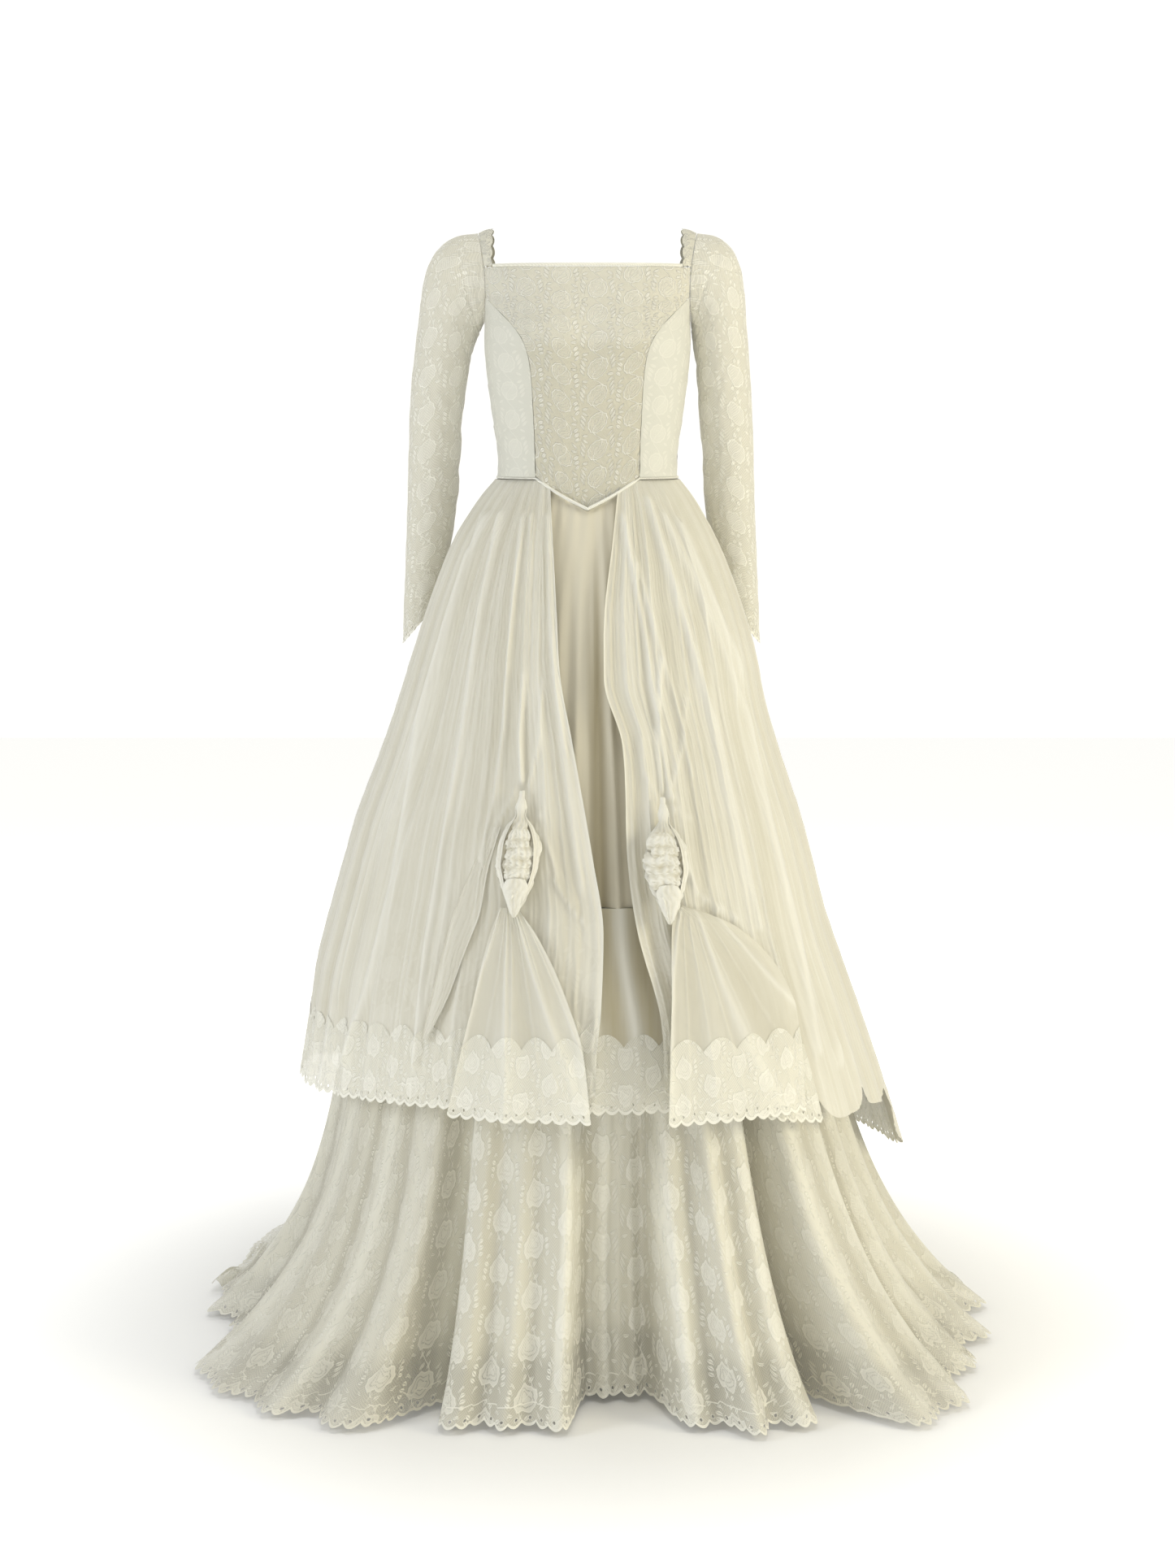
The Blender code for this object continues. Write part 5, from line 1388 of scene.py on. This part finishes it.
chiffon = chiffon_finish("silk chiffon", 0.94)
front_chiffon = chiffon_finish("silk chiffon over lace", 0.92, True)
for place, first, last, columns, edge in PANELS:
    u, v = grid(columns, 100)
    nominal = first + (last - first) * u
    hem = smooth_at(OVER_HEM, 1, nominal)
    if place == "side_right":
        low = hem + LOBE_RISE * (2.0 * (u * LOBES % 1.0) - 1.0) ** 4
    else:
        low = hem + BORDER_H - BORDER_LAP
    top = waist_height(nominal) - PIPE_GAP - OVER_SEAM
    for _ in range(4):
        at_top = over_spots(nominal, top, first, last, edge)[0]
        x = at_top[..., 0]
        share = np.maximum(0.0, 1.0 - np.abs(x) / POINT_HALF) * (np.abs(nominal) < 90.0)
        top = WAIST_Z + (POINT_Z - WAIST_Z) * share - PIPE_GAP - OVER_SEAM
    z = top + (low - top) * (0.35 * v**2 + 0.65 * v)
    spots, painted_shade = over_spots(nominal, z, first, last, edge)
    finish = front_chiffon if edge else chiffon
    panel = sheet_of_cloth(
        "chiffon_" + place, spots, finish, 1.0, painted_shade
    )
    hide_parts("overskirt_" + place)


# Lace borders of the overskirt: a deep galloon of rose lace along the hem,
# wavy along its upper edge and scalloped below, sewn flat over the raw edge
# of the chiffon. The right side panel has none and ends in plain round lobes.
BORDER_ARC = 0.046
SCALLOP = 0.0170
SCALLOP_DEEP = 0.0055
LACE_PROUD = 0.0007
galloon = open_lace(
    "galloon lace", 0.046, 0.045, 0.80, 0.80,
    edge=(SCALLOP, 0.0095, 0.0014, 0.0017), net_shade=0.16,
)


def wavy_top(across):
    """Upper edge of a galloon: a run of round arcs meeting in small points."""
    return 0.016 * np.abs(np.sin(math.pi * across / BORDER_ARC)) ** 0.8 - 0.004


for place, first, last, columns, edge in PANELS:
    if place == "side_right":
        continue
    u, v = grid(columns + 40, 26)
    nominal = first + (last - first) * u
    hem = smooth_at(OVER_HEM, 1, nominal)
    across = run_length(over_spots(nominal, hem, first, last, edge)[0], 1)
    top = hem + BORDER_H + wavy_top(across)
    z = top + (hem + scallop_rise(across, SCALLOP, SCALLOP_DEEP) - top) * v
    spots, painted_shade = over_spots(nominal, z, first, last, edge, LACE_PROUD)
    # The galloon takes a weaker, lighter copy of the chiffon's painted shade.
    shade = (painted_shade - 0.45) * 0.9
    border = sheet_of_cloth(
        "galloon_" + place, spots, galloon, 1.0, shade
    )
    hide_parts("border_" + place)


# Centre flounce: a short layer of chiffon with its own galloon, hung from
# the tier seam and seen low between the open edges.
CENTRE_LEFT_X = -0.045
CENTRE_WIDTH = 0.170
CENTRE_LACE_Z = -1.005
CENTRE_HEM_Z = -1.088


def flounce_spots(u, z, proud=0.0):
    """The flounce, which springs out a little below the tier seam, in soft waves."""
    x = CENTRE_LEFT_X + CENTRE_WIDTH * u
    angle = angle_of_x(x, z)
    drop = np.clip((TIER_Z - z) / 0.10, 0.0, 1.0)
    wave = 0.0030 * crest(np.radians(angle * 42.0) + 0.8 * np.sin(20.0 * z))
    lift = -0.0212 + 0.0052 * drop + wave * drop - 0.0015 * drop + proud
    # Painted shade in the flounce's waves, lighter on their crests.
    return skirt_spots(angle, z, lift), np.clip(0.65 - wave / 0.0060, 0.0, 1.0)


u, v = grid(110, 50)
z = TIER_Z + (CENTRE_LACE_Z - BORDER_LAP - TIER_Z) * v
spots, painted_shade = flounce_spots(u, z)
flounce = sheet_of_cloth(
    "chiffon_centre", spots, chiffon, 1.0, painted_shade
)
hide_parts("centre_flounce")
u, v = grid(130, 26)
across = CENTRE_WIDTH * u
top = CENTRE_LACE_Z + wavy_top(across)
z = top + (CENTRE_HEM_Z + scallop_rise(across, SCALLOP, SCALLOP_DEEP) - top) * v
spots = flounce_spots(u, z, LACE_PROUD)[0]
border = sheet_of_cloth(
    "galloon_centre", spots, galloon, 1.0
)
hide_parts("border_centre")


# Swag fans: the front corners of the overskirt's top layer are caught up
# under each rosette, so that they spread below it in a fan of radiating folds
# with a galloon at the hem. The left side has one more folded drape.
FANS = {
    "left": (
        # z, left_x, right_x, lift
        (-0.838, -0.1000, -0.0800, 0.0232),
        (-0.870, -0.1130, -0.0590, 0.0190),
        (-0.910, -0.1230, -0.0380, 0.0200),
        (-0.955, -0.1320, -0.0200, 0.0220),
        (-1.000, -0.1420, -0.0060, 0.0240),
        (-1.088, -0.1600, 0.0040, 0.0280),
    ),
    "right": (
        # z, left_x, right_x, lift
        (-0.838, 0.0985, 0.1120, 0.0284),
        (-0.850, 0.0975, 0.1420, 0.0240),
        (-0.870, 0.0965, 0.1780, 0.0210),
        (-0.910, 0.0960, 0.2180, 0.0220),
        (-0.955, 0.0950, 0.2410, 0.0240),
        (-1.005, 0.0930, 0.2480, 0.0260),
        (-1.093, 0.0900, 0.2520, 0.0300),
    ),
}
DRAPE_LEFT = (
    # z, left_x, right_x, lift
    (-0.745, -0.1180, -0.1050, 0.0070),
    (-0.797, -0.1400, -0.1200, 0.0082),
    (-0.850, -0.1600, -0.1290, 0.0096),
    (-0.900, -0.1730, -0.1480, 0.0102),
    (-0.950, -0.1850, -0.1660, 0.0117),
    (-1.002, -0.1970, -0.1900, 0.0127),
)
# x and z of the stitch from which each one's folds spread
SWAG_CATCH = {"left": (-0.0905, -0.812), "right": (0.1080, -0.800), "drape": (-0.1120, -0.660)}
FAN_SEAT = 0.0150


def fan_spots(place, table, u, z, seed, proud=0.0):
    """A hanging swag; its folds spread like rays from the catch above it."""
    left, right, lift = [smooth_at(table, n, z) for n in (1, 2, 3)]
    x = left + (right - left) * u
    angle = angle_of_x(x, z)
    catch_x, catch_z = SWAG_CATCH[place]
    ray = np.arctan2(x - catch_x, catch_z - z)
    grow = np.clip((table[0][0] - z) / 0.16, 0.0, 1.0)
    bend = 0.8 * np.sin(5.0 * ray + seed) + 0.35 * np.sin(14.0 * z + seed)
    soft = 0.62 * np.cos(15.0 * ray + bend + seed) + 0.38 * np.cos(27.0 * ray - 1.5 * bend + seed)
    thin = np.exp(-(1.0 - np.cos(19.0 * ray + 1.4 * bend)) * 11.0)
    finer = 0.7 * np.exp(-(1.0 - np.cos(46.0 * ray - 2.0 * bend)) * 8.0)
    thin = np.maximum(thin, finer * (1.0 - 0.5 * grow))
    rolled = np.exp(-((u / 0.022) ** 2))
    if place == "right":
        lift = lift - (lift - FAN_SEAT) * ease(0.45, 1.0, u) * (1.0 - ease(-0.90, -1.03, z))
    else:
        rolled = rolled + np.exp(-(((1.0 - u) / 0.060) ** 4))
    lift = lift + 0.0026 * grow * soft + 0.0016 * thin + 0.0018 * rolled * grow
    lift = lift + 0.0005 * crumple(u * 14.0, z * 50.0, seed) + proud
    # Painted shade in the swag's folds, with painted highlights on its thin ridges and rolled edges.
    tone = 0.42 - 0.16 * soft * (0.4 + 0.6 * grow) - 0.34 * thin - 0.30 * rolled
    return skirt_spots(angle, z, lift), np.clip(tone, 0.0, 1.0)


swag_chiffon = chiffon_finish("swag chiffon", 0.86)
for place, seed in (("left", 0.7), ("right", 2.1)):
    table = FANS[place]
    u, v = grid(150, 90)
    z = table[0][0] + (table[-2][0] - BORDER_LAP - table[0][0]) * v
    spots, painted_shade = fan_spots(place, table, u, z, seed)
    fan = sheet_of_cloth(
        "swag_" + place, spots, swag_chiffon,
        1.0, painted_shade,
    )
    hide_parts("fan_" + place)
    u, v = grid(170, 26)
    at_hem = np.full(u.shape, table[-1][0])
    across = run_length(fan_spots(place, table, u, at_hem, seed)[0], 1)
    top = table[-2][0] + wavy_top(across)
    z = top + (table[-1][0] + scallop_rise(across, SCALLOP, SCALLOP_DEEP) - top) * v
    spots, painted_shade = fan_spots(place, table, u, z, seed, LACE_PROUD)
    # The swag's galloon takes a weaker, lighter copy of its painted shade.
    shade = painted_shade * 0.6 - 0.35
    border = sheet_of_cloth(
        "galloon_swag_" + place, spots, galloon, 1.0, shade
    )
    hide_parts("border_fan_" + place)

u, v = grid(50, 100)
z = DRAPE_LEFT[0][0] + (DRAPE_LEFT[-1][0] - DRAPE_LEFT[0][0]) * v
spots, painted_shade = fan_spots("drape", DRAPE_LEFT, u, z, 3.0)
# The drape takes four fifths of its painted shade.
drape = sheet_of_cloth(
    "folded_drape", spots, swag_chiffon,
    0.5, painted_shade * 0.8,
)
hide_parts("drape_left")


# Rosettes: each is a bias strip of the chiffon rolled on itself into a
# pointed bud, tied at the tip and stitched down on the overskirt, with one
# loose outer turn that opens in front over the crushed inner rolls.
BUD_HALF = 0.0255
BUD_LENGTH = 0.148
BUD_FLAT = 0.66
ROSETTE = (
    # along, width
    (0.000, 0.10),
    (0.060, 0.26),
    (0.120, 0.36),
    (0.190, 0.24),
    (0.300, 0.66),
    (0.430, 0.96),
    (0.560, 1.00),
    (0.700, 0.80),
    (0.850, 0.44),
    (1.000, 0.10),
)
ROSETTES = (
    # place, tip_x, foot_x, tip_z, tip_lift, foot_lift, spin
    ("left", -0.081, -0.090, -0.700, 0.0168, 0.0308, 1.0),
    ("right", 0.093, 0.101, -0.708, 0.0224, 0.0364, -1.0),
)
FLAPS = (
    # name, start, stop, left, right, lip, curl, shade; the last five are crushed rolls
    ("left_lip", 0.15, 0.97, -1.24, -0.80, 0.0004, 0.0020, 0.25),
    ("right_lip", 0.15, 0.90, 0.76, 1.22, 0.0004, 0.0020, 0.25),
    ("foot_petal", 0.68, 1.00, -1.05, 0.98, 0.0010, 0.0018, 0.30),
    ("roll_1", 0.27, 0.40, -0.70, 0.74, -0.0030, 0.0034, 0.55),
    ("roll_2", 0.36, 0.47, -0.88, 0.66, -0.0046, 0.0040, 0.72),
    ("roll_3", 0.43, 0.55, -0.70, 0.88, -0.0040, 0.0044, 0.60),
    ("roll_4", 0.51, 0.63, -0.88, 0.80, -0.0044, 0.0042, 0.75),
    ("roll_5", 0.59, 0.72, -0.80, 0.88, -0.0030, 0.0034, 0.60),
)


def bud_spots(tip, foot, along, turn, out):
    """Points round the bud's form: along from tip to foot, turn round its line."""
    centre = tip + (foot - tip) * along[..., None]
    reach = BUD_HALF * smooth_at(ROSETTE, 1, along) + out
    offset = [reach * np.cos(turn), reach * BUD_FLAT * np.sin(turn), 0.0 * turn]
    return centre + np.stack(offset, axis=2)


def bud_end(x, z, lift):
    """The tip or the foot of a bud, over the place on the overskirt it is sewn to."""
    end = skirt_spots(angle_of_x(np.array(x), np.array(z)), np.array(z), lift)
    end[0] = x
    return end


bud_chiffon = chiffon_finish("rolled chiffon", 1.0)
for place, tip_x, foot_x, tip_z, tip_lift, foot_lift, spin in ROSETTES:
    tip = bud_end(tip_x, tip_z, tip_lift)
    foot = bud_end(foot_x, tip_z - BUD_LENGTH, foot_lift)
    u, v = grid(80, 96)
    turn = -2.0 * math.pi * u
    spiral = crest(3.0 * turn + spin * 15.0 * v + 0.8 * np.sin(4.0 * turn + 9.0 * v))
    crushed = crumple(6.0 * np.cos(turn) + 2.0, 26.0 * v + 3.0 * np.sin(turn), spin)
    full = ease(0.14, 0.34, v) * (1.0 - ease(0.82, 1.0, v))
    front = ease(0.35, 0.85, -np.sin(turn)) * ease(0.24, 0.40, v) * (1.0 - ease(0.66, 0.80, v))
    out = 0.0016 * spiral * full + 0.0024 * crushed * full - 0.0075 * front
    out = out - 0.0032 * (1.0 - ease(0.10, 0.18, v)) * ease(0.0, 0.06, v) + 0.0006 * crushed
    spots = bud_spots(tip, foot, v, turn, out)
    # Painted shade of the bud: dark in its open front, light on the crests of its turns and toward
    # the tied tip.
    painted_shade = 0.42 - (0.25 * spiral + 0.35 * crushed) * full + 0.55 * front
    painted_shade = painted_shade - 0.4 * (1.0 - ease(0.10, 0.25, v))
    bud = sheet_of_cloth(
        "rosette_bud_" + place, spots, bud_chiffon,
        0.5, np.clip(painted_shade, 0.0, 1.0), closed=True, layers=2,
    )
    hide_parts("rosette_" + place)

    for lap, (kind, start, stop, left, right, lip, curl, shade) in enumerate(FLAPS):
        if spin < 0.0 and kind == "right_lip":
            continue
        u, v = grid(28, 26)
        along = start + (stop - start) * v
        wrinkle = crumple(u * 9.0 + 2.0 * lap, v * 8.0, 1.0 + lap)
        if not kind.startswith("roll"):
            point = np.sin(math.pi * v) ** 0.5 if kind == "foot_petal" else ease(0.0, 0.15, v)
            spread = (right - left) * (0.25 + 0.75 * point)
            rise = lip + curl * (2.0 * u - 1.0) ** 2 * point + 0.0007 * wrinkle
            # Painted shade of a lip or petal, with painted highlights toward its edges.
            painted_shade = shade - 0.4 * (2.0 * u - 1.0) ** 2 - 0.2 * wrinkle
        else:
            along = along + 0.020 * crumple(u * 3.0 + 1.7 * lap, 0.4 * lap, 0.5 * lap)
            spread = (right - left) * (0.85 + 0.15 * np.sin(math.pi * v))
            pinch = 0.5 + 0.5 * np.cos(2.0 * math.pi * (5.0 * u + 0.37 * lap) + 2.0 * wrinkle)
            rise = lip + curl * np.sin(math.pi * v) * (0.55 + 0.45 * pinch) + 0.0008 * wrinkle
            if spin < 0.0:
                spread = spread + 0.75 * (0.6 + 0.4 * math.cos(2.3 * lap)) * u
                rise = rise + (0.0060 + 0.0015 * math.sin(3.1 * lap)) * ease(0.55, 1.0, u)
            # Painted shade of a roll: a painted highlight along its crest, darker where it is pinched
            # in.
            painted_shade = shade - 0.75 * np.sin(math.pi * v) ** 2 * (0.4 + 0.6 * pinch) - 0.25 * wrinkle
        turn = -0.5 * math.pi + spin * ((left + right) / 2.0 + (u - 0.5) * spread)
        spots = bud_spots(tip, foot, along, turn, rise)
        if spin < 0.0:
            spots = spots[:, ::-1]
            painted_shade = painted_shade[:, ::-1]
        flap = sheet_of_cloth(
            "rosette_%s_%s" % (kind, place), spots, bud_chiffon,
            0.5, np.clip(painted_shade, 0.0, 1.0),
        )
        if kind == "left_lip":
            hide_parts("petal_" + place)
